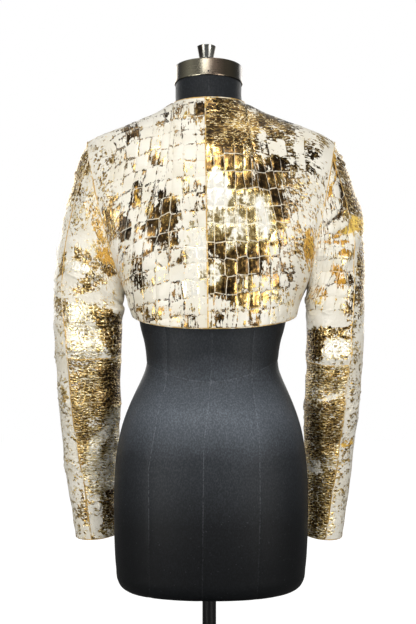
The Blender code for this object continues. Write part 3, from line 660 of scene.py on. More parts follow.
def merged_copy(node: str) -> bmesh.types.BMesh:
    """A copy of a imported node's mesh with its doubles merged.

    Args:
        node: The node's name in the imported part.

    Returns:
        The copy, to be freed after use.
    """
    mesh = bmesh.new()
    mesh.from_mesh(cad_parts[node].data)
    bmesh.ops.remove_doubles(mesh, verts=mesh.verts[:], dist=SAME_POINT)
    mesh.verts.index_update()
    mesh.verts.ensure_lookup_table()
    return mesh


def grid_area(grid: np.ndarray) -> float:
    """The area of a grid of points."""
    a, b = np.diff(grid[:-1], axis=1), np.diff(grid[:, :-1], axis=0)
    return float(np.linalg.norm(np.cross(a, b), axis=2).sum())


def spread_rows(values: np.ndarray, places: np.ndarray, stations: np.ndarray) -> np.ndarray:
    """Reads a smooth curve through rows of values at new stations along them.

    Args:
        values: One row of numbers for each place.
        places: Where the rows lie, rising.
        stations: Where the curve is read.

    Returns:
        One row for each station.
    """
    shape = (-1,) + (1,) * (values.ndim - 1)
    gaps = np.diff(places)
    slopes = np.diff(values, axis=0) / gaps.reshape(shape)
    share = (gaps[1:] / (gaps[1:] + gaps[:-1])).reshape(shape)
    inner = slopes[:-1] * share + slopes[1:] * (1 - share)
    tangents = np.concatenate((slopes[:1], inner, slopes[-1:]))
    index = np.clip(np.searchsorted(places, stations, side="right") - 1, 0, len(places) - 2)
    gap = gaps[index].reshape(shape)
    t = ((stations - places[index]) / gaps[index]).reshape(shape)
    return (
        values[index] * (1 + 2 * t) * (1 - t) ** 2
        + tangents[index] * gap * t * (1 - t) ** 2
        + values[index + 1] * t * t * (3 - 2 * t)
        + tangents[index + 1] * gap * t * t * (t - 1)
    )


def lengths_along(grid: np.ndarray, axis: int) -> np.ndarray:
    """The distance from a grid's first row or column to each point, along the grid."""
    steps = np.linalg.norm(np.diff(grid, axis=axis), axis=2)
    return np.cumsum(np.insert(steps, 0, 0, axis=axis), axis=axis)


def ripple(points: np.ndarray, size: float, seed: int, octaves: int = 3) -> np.ndarray:
    """A smooth uneven field from about -1 to 1 over points, the same in every run.

    Args:
        points: An array whose last axis is a place in metres.
        size: The width of its largest swells.
        seed: Which field.
        octaves: How many finer layers are added.

    Returns:
        One number for each point.
    """
    chance = np.random.default_rng(seed)
    total = np.zeros(points.shape[:-1])
    for octave in range(octaves):
        for _ in range(5):
            way = chance.normal(size=points.shape[-1])
            way *= 2**octave * math.tau / size / np.linalg.norm(way) * chance.uniform(0.5, 1.1)
            total += np.sin(points @ way + chance.uniform(0, math.tau)) / (2.2 * 1.7**octave)
    return total / 1.6


def leaning(x: np.ndarray, z: np.ndarray, lean: float) -> tuple[np.ndarray, np.ndarray]:
    """Distances along and across a line that leans by a number of degrees."""
    c, s = math.cos(math.radians(lean)), math.sin(math.radians(lean))
    return x * c + z * s, z * c - x * s


@dataclass(frozen=True)
class Patch:
    """A place where the foil is kept: its centre, half sizes and lean on the panel, in mm and degrees. Some
    patches' tones are painted highlights or a painted shadow.
    """

    x: float
    z: float
    wide: float
    tall: float
    foil: float
    tone: float
    lean: float = 0.0
    orange: float = 0.0
    fade: tuple[float, float] = (0.75, 1.5)

    def cover(self, x: np.ndarray, z: np.ndarray) -> np.ndarray:
        """How far each point lies in the patch.

        Args:
            x: The points' places across, in metres.
            z: Their heights.

        Returns:
            Numbers from 0 to 1.
        """
        across, up = leaning(x - self.x * MM, z - self.z * MM, self.lean)
        reach = np.cbrt(np.abs(across / (self.wide * MM)) ** 3 + np.abs(up / (self.tall * MM)) ** 3)
        cover = np.clip((self.fade[1] - reach) / (self.fade[1] - self.fade[0]), 0, 1)
        return cover * cover * (3 - 2 * cover)


@dataclass(frozen=True)
class FoilPlan:
    """Where the foil lies on a panel: what is left all over, and the patches.

    The drifts and the waver are uneven fields, each given by its height and the width of its swells.
    """

    base: float = 0.12
    tone: float = 0.4
    hidden: float = 0.25
    patches: tuple[Patch, ...] = ()
    hold: float = 0.95
    waver: tuple[float, float] = (0.0060, 0.045)
    foil_drift: tuple[float, float] = (0.14, 0.07)
    tone_drift: tuple[float, float] = (0.12, 0.05)
    island_size: float = 0.10
    hidden_tone: float = 0.35
    hidden_drift: tuple[float, float] = (0.3, 0.06)

    def read(
        self, points: np.ndarray, seen: np.ndarray, seed: int
    ) -> tuple[np.ndarray, np.ndarray, np.ndarray]:
        """Works out foil, tone and orange at each point.

        Args:
            points: The panel's points.
            seen: 1 where the panel faces back, 0 where it faces the front.
            seed: Which uneven field the rest follows.

        Returns:
            Three arrays.
        """

        def drift(sizes: tuple[float, float], which: int) -> np.ndarray:
            """One of the uneven fields."""
            return ripple(points, sizes[1], which) * sizes[0]

        x, z = points[..., 0] + drift(self.waver, 3), points[..., 2] + drift(self.waver, 4)
        foil = self.base + drift(self.foil_drift, seed)
        tone = self.tone + drift(self.tone_drift, seed + 1)
        orange = np.zeros(x.shape)
        for patch in self.patches:
            cover = patch.cover(x, z) * seen * self.hold
            foil += (patch.foil - foil) * cover
            tone += (patch.tone - tone) * cover
            orange += (patch.orange - orange) * cover
        islands = np.clip(ripple(points, self.island_size, seed + 2, 4) * 1.6 - 0.35, 0, 1)
        foil += (self.hidden + 0.75 * islands - foil) * (1 - seen)
        tone += (self.hidden_tone + drift(self.hidden_drift, seed + 3) - tone) * (1 - seen)
        return foil, tone, orange


@dataclass(frozen=True)
class Fold:
    """A ridge, or below 0 a trough: its middle, half sizes, lean and height, in mm and degrees."""

    x: float
    z: float
    long: float
    wide: float
    lean: float
    height: float
    bow: float = 0.6

    def rise(self, points: np.ndarray) -> np.ndarray:
        """The fold's height at each point.

        Args:
            points: The panel's points.

        Returns:
            Heights in metres.
        """
        along, across = leaning(points[..., 0] / MM - self.x, points[..., 2] / MM - self.z, self.lean)
        across += (along / self.long) ** 2 * self.wide * self.bow
        return self.height * MM * np.exp(-((along / self.long) ** 4) - (across / self.wide) ** 2)


def new_piece(
    name: str, points: np.ndarray, faces: Sequence[Sequence[int]] = (), edges: Sequence[tuple[int, int]] = ()
) -> bpy.types.Object:
    """A smooth-shaded mesh object at the origin.

    Args:
        name: The piece's name.
        points: Its points.
        faces: Its faces, as rows of point numbers.
        edges: Its loose lines.

    Returns:
        The object.
    """
    mesh = bpy.data.meshes.new(name)
    mesh.from_pydata(points.tolist(), edges, faces)
    mesh.polygons.foreach_set("use_smooth", [True] * len(mesh.polygons))
    mesh.update()
    piece = bpy.data.objects.new(name, mesh)
    bpy.context.scene.collection.objects.link(piece)
    return piece


def add_numbers(piece: bpy.types.Object, name: str, values: np.ndarray) -> None:
    """Stores a number or a vector for each of a mesh's points.

    Args:
        piece: The object.
        name: What they are stored as.
        values: One row for each point.
    """
    kind, key = ("FLOAT_VECTOR", "vector") if values.ndim == 2 else ("FLOAT", "value")
    made = piece.data.attributes.new(name, kind, "POINT")
    made.data.foreach_set(key, values.astype(np.float32).ravel())


def grid_faces(index: np.ndarray, after: np.ndarray) -> np.ndarray:
    """Four-sided faces between the rows of a grid of point numbers and the numbers that come after them."""
    return np.stack((index[:-1], after[:-1], after[1:], index[1:]), axis=-1).reshape(-1, 4)


def tube_faces(rings: int, around: int) -> list[list[int]]:
    """The faces of a stack of rings.

    Args:
        rings: How many rings there are.
        around: How many points each has.

    Returns:
        Four-sided faces between the rings, and a flat one at each end.
    """
    index = np.arange(rings * around).reshape(rings, around)
    wall = grid_faces(index, np.roll(index, -1, axis=1)).tolist()
    return wall + [index[0, ::-1].tolist(), index[-1].tolist()]


class ShapeTree:
    """A geometry tree with named sizes, that ends in plain faces of one finish."""

    def __init__(self, name: str, sizes: dict[str, float]) -> None:
        """Starts the tree.

        Args:
            name: The tree's name.
            sizes: Its named inputs and their values; a whole number makes a whole-number input.
        """
        self.sizes = sizes
        self.tree = bpy.data.node_groups.new(name, "GeometryNodeTree")
        face = self.tree.interface
        face.new_socket("Geometry", in_out="OUTPUT", socket_type="NodeSocketGeometry")
        kinds = {key: "Int" if isinstance(value, int) else "Float" for key, value in sizes.items()}
        for key, kind in {"Geometry": "Geometry", **kinds, "Finish": "Material"}.items():
            face.new_socket(key, in_out="INPUT", socket_type=f"NodeSocket{kind}")
        self.keys = {item.name: item.identifier for item in face.items_tree if item.in_out == "INPUT"}
        self.graph = Graph(self.tree)
        self.given = self.graph.node("NodeGroupInput")

    def end(self, shape: Value) -> None:
        """Ends the tree in plain faces of the finish that it is given.

        Args:
            shape: What the tree has made.
        """
        real = self.graph.node("GeometryNodeRealizeInstances", None, {"Geometry": shape})
        inputs = {"Geometry": real, "Material": self.given.out("Finish")}
        dressed = self.graph.node("GeometryNodeSetMaterial", None, inputs)
        self.graph.node("NodeGroupOutput", None, {"Geometry": dressed})

    def apply(self, piece: bpy.types.Object, finish: bpy.types.Material, **sizes: float) -> bpy.types.Object:
        """Runs the tree on an object and leaves the result in it as a plain mesh.

        Args:
            piece: The object.
            finish: Its material.
            sizes: Sizes that differ from the tree's own.

        Returns:
            The same object.
        """
        modifier = piece.modifiers.new(self.tree.name, "NODES")
        modifier.node_group = self.tree
        for key, value in {**self.sizes, **sizes, "Finish": finish}.items():
            modifier[self.keys[key]] = value
        bpy.context.view_layer.update()
        evaluated = piece.evaluated_get(bpy.context.evaluated_depsgraph_get())
        mesh = bpy.data.meshes.new_from_object(evaluated)
        piece.modifiers.remove(modifier)
        old = piece.data
        piece.data = mesh
        bpy.data.meshes.remove(old)
        return piece


class Embossing(ShapeTree):
    """A geometry tree that raises the hide's tiles and scales on a panel."""

    def __init__(
        self, pattern: CrocPattern, tile_relief: float = 0.00045, scale_relief: float = 0.00038
    ) -> None:
        """Builds the tree.

        Args:
            pattern: The pattern that the finish draws too.
            tile_relief: The height of the large tiles.
            scale_relief: The height of the small scales.
        """
        super().__init__("embossing", {"Tile Relief": tile_relief, "Scale Relief": scale_relief})
        graph, given = self.graph, self.given

        def named(key: str, kind: str = "FLOAT") -> Value:
            """A stored number of the panel's points."""
            return graph.node("GeometryNodeInputNamedAttribute", {"data_type": kind}, {"Name": key})

        hide_at, tile_at = (named(key, "FLOAT_VECTOR") for key in ("hide_at", "tile_at"))
        tiles = named("tiles")
        lines = pattern.draw(graph, hide_at, tile_at, tiles, named("plain"))
        small, large = given.out("Scale Relief"), given.out("Tile Relief")
        height = lines["swell"] * named("relief") * (small + (large - small) * tiles)
        rise = graph.vector("SCALE", graph.node("GeometryNodeInputNormal"), height)
        self.end(graph.node("GeometryNodeSetPosition", None, {"Geometry": given, "Offset": rise}))


class EdgeRoll(ShapeTree):
    """A geometry tree that lays a round roll of leather along drawn lines."""

    def __init__(self, radius: float = 0.0010, sides: int = 8) -> None:
        """Builds the tree.

        Args:
            radius: The roll's usual radius.
            sides: How many sides it has.
        """
        super().__init__("edge_roll", {"Radius": radius})
        graph, given = self.graph, self.given
        line = graph.node("GeometryNodeMeshToCurve", None, {"Mesh": given})
        round_ring = {"Resolution": sides, "Radius": given.out("Radius")}
        ring = graph.node("GeometryNodeCurvePrimitiveCircle", None, round_ring)
        swept = {"Curve": line, "Profile Curve": ring, "Fill Caps": True}
        roll = graph.node("GeometryNodeCurveToMesh", None, swept)
        self.end(graph.node("GeometryNodeSetShadeSmooth", None, {"Geometry": roll}))

    def lay(
        self, name: str, lines: Sequence[np.ndarray], radius: float, finish: bpy.types.Material
    ) -> bpy.types.Object:
        """Rolls along lines.

        Args:
            name: The piece's name.
            lines: Each a row of points.
            radius: The roll's radius.
            finish: Its material.

        Returns:
            The finished piece.
        """
        ends = np.cumsum([len(line) for line in lines])
        edges = [(i, i + 1) for i in range(ends[-1] - 1) if i + 1 not in ends]
        return self.apply(new_piece(name, np.concatenate(lines), edges=edges), finish, Radius=radius)


@dataclass
class LeatherPanel:
    """One cut piece of the jacket, rebuilt finely on its packed wall.

    The wavers are uneven fields, each given by its height and the width of its swells.
    """

    STRIDE: ClassVar[int] = 3
    EDGE_FADE: ClassVar[float] = 0.012
    EDGE_RELIEF: ClassVar[float] = 0.004
    INNER: ClassVar[dict[str, float]] = {"relief": 0.0, "inside": 1.0}
    BROAD_CREASE: ClassVar[float] = 0.085
    SHARP_CREASE: ClassVar[float] = 0.05
    CREASE_STRETCH: ClassVar[tuple[float, float, float]] = (1.0, 1.0, 2.1)
    RIDGE_WIDTH: ClassVar[float] = 0.18
    SEEN_SLOPE: ClassVar[float] = 2.2
    SEEN_EDGE_ON: ClassVar[float] = 0.75
    TOP_LEAN: ClassVar[float] = 0.25
    TOP_WAVER: ClassVar[tuple[float, float]] = (0.006, 0.04)
    ZONE_WAVER: ClassVar[tuple[float, float]] = (0.25, 0.05)
    FOOT_FADE: ClassVar[float] = 0.015
    HIDE_SHIFT: ClassVar[float] = 0.137

    node: str
    rows: int
    columns: int
    corner: tuple[float, float, float]
    flat: tuple[float, float]
    area: float
    plan: FoilPlan
    slot: str
    seed: int
    tile: tuple[float, float] = (0.019, 0.024)
    tile_zone: tuple[float, float] = (0.0, 0.0)
    tile_top: tuple[float, float] = (2.0, 2.1)
    tile_foot: float = 0.0
    slope: float = 0.0
    flatness: float = 1.0
    pitch: float = 0.0016
    crease: float = 0.0009
    bends: tuple[Fold, ...] = ()
    held: str = "draped"
    seams: tuple[Border, ...] = ()
    folds: tuple[Border, ...] = ()
    outer: np.ndarray = field(default=None, repr=False)
    inner: np.ndarray = field(default=None, repr=False)

    def border(self, border: Border) -> tuple[np.ndarray, np.ndarray]:
        """The outer and the inner points along one border."""
        kind, place = border.value
        return tuple(skin[place] if kind == "row" else skin[:, place] for skin in (self.outer, self.inner))

    def build(self, emboss: Embossing, leather: bpy.types.Material) -> bpy.types.Object:
        """Makes the panel's mesh, embosses it and puts it on the body.

        Args:
            emboss: The tree that raises the tiles and scales.
            leather: The finish.

        Returns:
            The finished piece.
        """
        outer, inner = self._refined(Wall(self.node, self.rows, self.columns, self.corner))
        facing = np.cross(np.gradient(outer, axis=1), np.gradient(outer, axis=0))
        facing /= np.linalg.norm(facing, axis=2, keepdims=True)
        if np.sum(facing * (outer - inner)) < 0:
            facing = -facing
        along, up = lengths_along(outer, 1), lengths_along(outer, 0)
        edge = np.minimum(np.minimum(along, along[:, -1:] - along), np.minimum(up, up[-1:] - up))
        creases = self._creases(outer) * np.clip(edge / self.EDGE_FADE, 0, 1)
        self.outer, self.inner = (skin + facing * creases[..., None] for skin in (outer, inner))
        piece = self._mesh(facing)
        for key, values in self._numbers(facing, along, edge).items():
            add_numbers(piece, key, self._both(values, self.INNER.get(key)))
        emboss.apply(piece, leather)
        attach(piece, "root")
        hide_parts(self.node)
        sizes = len(piece.data.polygons), along.max() / MM, up.max() / MM, grid_area(self.outer)
        log.info("%s: %d faces, widest row %.0f mm, longest column %.0f mm, %.4f m2", piece.name, *sizes)
        return piece

    def _refined(self, wall: Wall) -> list[np.ndarray]:
        """Gives both skins many more rows and columns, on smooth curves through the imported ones.

        Args:
            wall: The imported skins.

        Returns:
            The outer and the inner skin.
        """
        up, across = lengths_along(wall.outer, 0), lengths_along(wall.outer, 1)
        up, rows = self._stations(up.mean(axis=1), up[-1].max())
        across, columns = self._stations(across.mean(axis=0), across[:, -1].max())
        tall = (spread_rows(skin, up, rows) for skin in (wall.outer, wall.inner))
        return [spread_rows(skin.transpose(1, 0, 2), across, columns).transpose(1, 0, 2) for skin in tall]

    def _stations(self, places: np.ndarray, longest: float) -> tuple[np.ndarray, np.ndarray]:
        """The places again, and stations along them, close enough for the longest row or column."""
        steps = math.ceil(longest / self.pitch / self.STRIDE) * self.STRIDE
        return places, np.linspace(0, places[-1], steps + 1)

    def _creases(self, points: np.ndarray) -> np.ndarray:
        """Soft, uneven creases over the panel: ridges and troughs that mostly lie across it.

        Args:
            points: The outer skin.

        Returns:
            Heights in metres.
        """
        tilted = points * self.CREASE_STRETCH
        broad = ripple(tilted, self.BROAD_CREASE, self.seed + 11, 2)
        sharp = ripple(tilted, self.SHARP_CREASE, self.seed + 12, 2)
        ridge = np.exp(-((sharp / self.RIDGE_WIDTH) ** 2)) * np.clip(broad * 1.4, 0, 1)
        bends = sum(bend.rise(points) for bend in self.bends)
        return self.crease * (0.55 * broad + 0.8 * ridge - 0.2) + bends

    def _mesh(self, facing: np.ndarray) -> bpy.types.Object:
        """Makes a closed wall from the two skins, of which the inner one is coarser.

        Args:
            facing: The way out at each point of the outer skin.

        Returns:
            The piece.
        """
        skins = (self.outer, self.inner[:: self.STRIDE, :: self.STRIDE])
        loops, quads, count = [], [], 0
        for skin in skins:
            index = np.arange(skin.shape[0] * skin.shape[1]).reshape(skin.shape[:2]) + count
            quads.append(grid_faces(index[:, :-1], index[:, 1:]))
            loops.append(np.concatenate((index[0, :-1], index[:-1, -1], index[-1, :0:-1], index[:0:-1, 0])))
            count += index.size
        steps = [np.roll(loops[0], -k)[:: self.STRIDE] for k in range(self.STRIDE, -1, -1)]
        rim = np.stack((steps[-1], loops[1], np.roll(loops[1], -1), *steps[:-1]), axis=-1)
        faces = quads[0].tolist() + quads[1][:, ::-1].tolist() + rim.tolist()
        first = np.cross(self.outer[0, 1] - self.outer[0, 0], self.outer[1, 0] - self.outer[0, 0])
        if float(first @ facing[0, 0]) < 0:
            faces = [face[::-1] for face in faces]
        points = np.concatenate([skin.reshape(-1, 3) for skin in skins])
        return new_piece(f"leather_{self.node}", points, faces)

    def _numbers(self, facing: np.ndarray, along: np.ndarray, edge: np.ndarray) -> dict[str, np.ndarray]:
        """What the finish and the embossing read, for the outer skin's points.

        Args:
            facing: The way out at each point.
            along: The distance along the row.
            edge: The distance from the nearest border.

        Returns:
            Arrays by the names that they are stored as.
        """
        outer = self.outer
        seen = np.clip(facing[..., 1] * self.SEEN_SLOPE + self.SEEN_EDGE_ON, 0, 1)
        foil, tone, orange = self.plan.read(outer, seen, self.seed)
        x, z = np.abs(outer[..., 0]), outer[..., 2]
        rise = z[:1] + lengths_along(outer, 0)
        low, high = self.tile_top
        border = z + self.TOP_LEAN * x + self.TOP_WAVER[0] * ripple(outer, self.TOP_WAVER[1], self.seed + 8)
        plain = np.clip((border - low) / (high - low), 0, 1)
        near, far = self.tile_zone
        tiles = np.clip((far - x) / (far - near), 0, 1) if far else np.zeros(z.shape)
        waver = self.ZONE_WAVER[0] * ripple(outer, self.ZONE_WAVER[1], self.seed + 7)
        tiles = np.clip(tiles + waver * (tiles > 0) * (tiles < 1), 0, 1)
        tiles = np.maximum(tiles * np.clip((z - self.tile_foot) / self.FOOT_FADE, 0, 1), plain)
        relief = np.clip(edge / self.EDGE_RELIEF, 0, 1) * np.clip(0.3 + 0.7 * foil + tiles, 0, 1)
        none = np.zeros(z.shape)
        hide = (along, rise * self.flatness, none + self.seed * self.HIDE_SHIFT)
        counted = (along / self.tile[0], (rise + self.slope * x * x) / self.tile[1], none)
        return {
            "foil": foil, "tone": tone, "orange": orange, "tiles": tiles, "plain": plain, "edge": edge,
            "relief": relief, "inside": none,
            "hide_at": np.stack(hide, axis=-1), "tile_at": np.stack(counted, axis=-1),
        }

    def _both(self, values: np.ndarray, inner: float | None = None) -> np.ndarray:
        """Puts values for the inner skin's points after those for the outer skin's.

        Args:
            values: The outer skin's values.
            inner: The one value of the inner skin, if it has one of its own.

        Returns:
            One row for each point of the piece.
        """
        other = values[:: self.STRIDE, :: self.STRIDE]
        if inner is not None:
            other = np.full(other.shape, inner)
        return np.concatenate([skin.reshape(-1, *values.shape[2:]) for skin in (values, other)])


@dataclass
class Jacket:
    """The ten cut pieces of the jacket and the turned edges along them."""

    finish: CrocLeather = CrocLeather("worn_gold_croc_leather")
    edge_finish: GiltEdge = GiltEdge()
    seam_radius: float = 0.0011
    seam_depth: float = 0.0005
    fold_radius: float = 0.0010
    line_step: int = 3
    panels: list[LeatherPanel] = field(default_factory=list)

    def build(self) -> None:
        """Makes every panel, then the rolls along the borders that it names."""
        leather, gilt = self.finish.material(), self.edge_finish.material()
        emboss, roll = Embossing(self.finish.pattern), EdgeRoll()
        for panel in self.panels:
            piece = panel.build(emboss, leather)
            trims = []
            for word, borders, radius, line in (
                ("seam", panel.seams, self.seam_radius, self._under_face),
                ("edge", panel.folds, self.fold_radius, self._between),
            ):
                if borders:
                    lines = [self._thinned(line(*panel.border(b))) for b in borders]
                    trims.append(roll.lay(f"{word}_{panel.node}", lines, radius, gilt))
            for trim in trims:
                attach(trim, "root")

    def _under_face(self, outer: np.ndarray, inner: np.ndarray) -> np.ndarray:
        """A line a little under the leather's face."""
        into = inner - outer
        return outer + into / np.linalg.norm(into, axis=1, keepdims=True) * self.seam_depth

    def _between(self, outer: np.ndarray, inner: np.ndarray) -> np.ndarray:
        """A line in the middle of the leather."""
        return (outer + inner) / 2

    def _thinned(self, line: np.ndarray) -> np.ndarray:
        """Every few points of a line, with both its ends."""
        return np.concatenate((line[: -self.line_step : self.line_step], line[-1:]))


@dataclass(frozen=True)
class SeamPath:
    """A long seam down the form's back and front: (height, x) pairs in mm."""

    path: tuple[tuple[float, float], ...]

    def distance(self, points: np.ndarray) -> np.ndarray:
        """How far each point is from the seam, below 0 on one side."""
        heights, places = (np.array(column) * MM for column in zip(*self.path))
        return points[..., 0] - np.interp(points[..., 2], heights, places)


@dataclass(frozen=True)
class DressForm:
    """The padded torso in jersey, rebuilt finely on its packed rings.

    The seams and the padding fade out at the cover, where the jacket hides the form.
    """

    ring_points: int = 36
    columns: int = 144
    ring_spacing: float = 0.0035
    seam_depth: float = 0.0007
    seam_width: float = 0.0022
    padding: float = 0.0005
    cover: float = 0.655
    cover_fade: float = 0.03
    sharp_turn: float = 50.0
    finish: Jersey = Jersey()
    waist_seam: tuple[float, float, float] = (0.539, 0.100, 0.028)
    seams: tuple[SeamPath, ...] = (
        SeamPath(((205, 91), (408, 91), (480, 80), (537, 67), (600, 66), (700, 78), (900, 86))),
        SeamPath(((205, 11), (440, 8), (560, -4), (700, -6), (1013, 1))),
        SeamPath(((205, -72), (342, -76), (451, -76), (540, -66), (600, -68), (700, -80), (900, -88))),
    )

    def build(self) -> bpy.types.Object:
        """Makes the form.

        Returns:
            The finished piece.
        """
        grid = self._refined()
        facing = np.cross(np.gradient(grid, axis=0), np.roll(grid, -1, axis=1) - np.roll(grid, 1, axis=1))
        facing /= np.maximum(np.linalg.norm(facing, axis=2, keepdims=True), 1e-9)
        if float((facing[..., 1] * grid[..., 1]).sum()) < 0:
            facing = -facing
        height, half_width, bow = self.waist_seam
        waist = grid[..., 2] - height - (grid[..., 0] / half_width) ** 2 * bow
        distances = (waist, *(path.distance(grid) for path in self.seams))
        seam = np.prod([np.tanh(d / SEAM_REACH) for d in distances], axis=0)
        clear = np.clip((self.cover - grid[..., 2]) / self.cover_fade, 0, 1)
        dip = np.exp(-((seam * SEAM_REACH / self.seam_width) ** 2)) * self.seam_depth * clear
        swell = ripple(grid, 0.16, 31, 2) * self.padding * clear
        grid = grid + facing * (swell - dip)[..., None]
        faces = tube_faces(*grid.shape[:2])
        if float(np.cross(grid[3, 1] - grid[3, 0], grid[4, 0] - grid[3, 0]) @ facing[3, 0]) < 0:
            faces = [face[::-1] for face in faces]
        piece = new_piece("padded_form", grid.reshape(-1, 3), faces)
        add_numbers(piece, "seam", seam.ravel())
        piece.data.set_sharp_from_angle(angle=math.radians(self.sharp_turn))
        piece.data.materials.append(self.finish.material())
        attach(piece, "root")
        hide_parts("dress_form")
        log.info("%s: %d faces", piece.name, len(faces))
        return piece

    def _refined(self) -> np.ndarray:
        """Gives the form many more rings and points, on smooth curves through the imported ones.

        Returns:
            The points as an array of rings, places round them and x, y, z.
        """
        rings = self._rings()
        up = lengths_along(rings, 0).mean(axis=1)
        grid = spread_rows(rings, up, np.linspace(0, up[-1], int(up[-1] / self.ring_spacing) + 2))
        wrapped = np.concatenate((grid[:, -3:], grid, grid[:, :4]), axis=1)
        places = np.arange(-3, self.ring_points + 4, dtype=float)
        stations = np.arange(self.columns) * self.ring_points / self.columns
        return spread_rows(wrapped.transpose(1, 0, 2), places, stations).transpose(1, 0, 2)

    def _rings(self) -> np.ndarray:
        """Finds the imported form's rings again, from bottom to top.

        Returns:
            The points as an array of rings, places from the centre back round and x, y, z.
        """
        mesh = merged_copy("dress_form")
        lowest = min(v.co.z for v in mesh.verts)
        ring = [v for v in mesh.verts if v.co.z < lowest + SAME_POINT / 2]
        used, rings = set(ring), []
        while ring:
            points = np.array([v.co[:] for v in ring])
            turn = np.arctan2(points[:, 0] - points[:, 0].mean(), points[:, 1])
            rings.append(points[np.argsort((turn + 0.02) % math.tau)])
            ring = list({e.other_vert(v) for v in ring for e in v.link_edges} - used)
            used.update(ring)
        mesh.free()
        return np.array(rings)


@dataclass(frozen=True)
class Turned:
    """A piece turned on a lathe, from (radius, height) pairs in mm, bottom to top."""

    name: str
    node: str
    slot: str
    profile: tuple[tuple[float, float], ...]
    axis_x: float
    segments: int = 128
    sharp_turn: float = 38.0

    def build(self, finish: bpy.types.Material) -> bpy.types.Object:
        """Turns the piece.

        Args:
            finish: Its material.

        Returns:
            The finished piece.
        """
        turns = np.linspace(0, math.tau, self.segments, endpoint=False)
        radii, heights = (np.array(column)[:, None] * MM for column in zip(*self.profile))
        across = (np.cos(turns) * radii + self.axis_x, np.sin(turns) * radii)
        points = np.stack((*across, np.broadcast_to(heights, across[0].shape)), axis=-1)
        piece = new_piece(self.name, points.reshape(-1, 3), tube_faces(*points.shape[:2]))
        piece.data.set_sharp_from_angle(angle=math.radians(self.sharp_turn))
        piece.data.materials.append(finish)
        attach(piece, "root")
        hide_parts(self.node)
        log.info("%s: turned from %d points", self.name, len(self.profile))
        return piece


@dataclass(frozen=True)
class SetScrews:
    """A geometry tree that sets a ring of small screws into the cap's wall."""

    count: int = 6
    sides: int = 20
    ring_radius: float = 0.0536
    screw_radius: float = 0.0014
    length: float = 0.0010
    centre: tuple[float, float, float] = (0.0012, 0.0, 1.0188)

    def build(self, finish: bpy.types.Material) -> bpy.types.Object:
        """Sets the screws.

        Args:
            finish: Their material.

        Returns:
            The finished piece.
        """
        sizes = {"Ring Radius": self.ring_radius, "Screw Radius": self.screw_radius, "Length": self.length}
        tree = ShapeTree("set_screws", {**sizes, "Count": self.count})
        node, out = tree.graph.node, tree.given.out
        ring = node("GeometryNodeMeshCircle", None, {"Vertices": out("Count"), "Radius": out("Ring Radius")})
        half_way = {"Geometry": ring, "Rotation": (0.0, 0.0, math.pi / self.count)}
        ring = node("GeometryNodeTransform", None, half_way)
        outline = {"Vertices": self.sides, "Radius": out("Screw Radius"), "Depth": out("Length")}
        screw = node("GeometryNodeMeshCylinder", None, outline)
        outward = {"Vector": node("GeometryNodeInputPosition")}
        turn = node("FunctionNodeAlignRotationToVector", {"axis": "Z"}, outward)
        placed = {"Points": ring, "Instance": screw, "Rotation": turn}
        set_in = node("GeometryNodeInstanceOnPoints", None, placed)
        lift = {"Instances": set_in, "Translation": self.centre, "Local Space": False}
        tree.end(node("GeometryNodeTranslateInstances", None, lift))
        piece = tree.apply(new_piece("set_screws", np.empty((0, 3))), finish)
        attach(piece, "root")
        log.info("%s: %d screws", piece.name, self.count)
        return piece


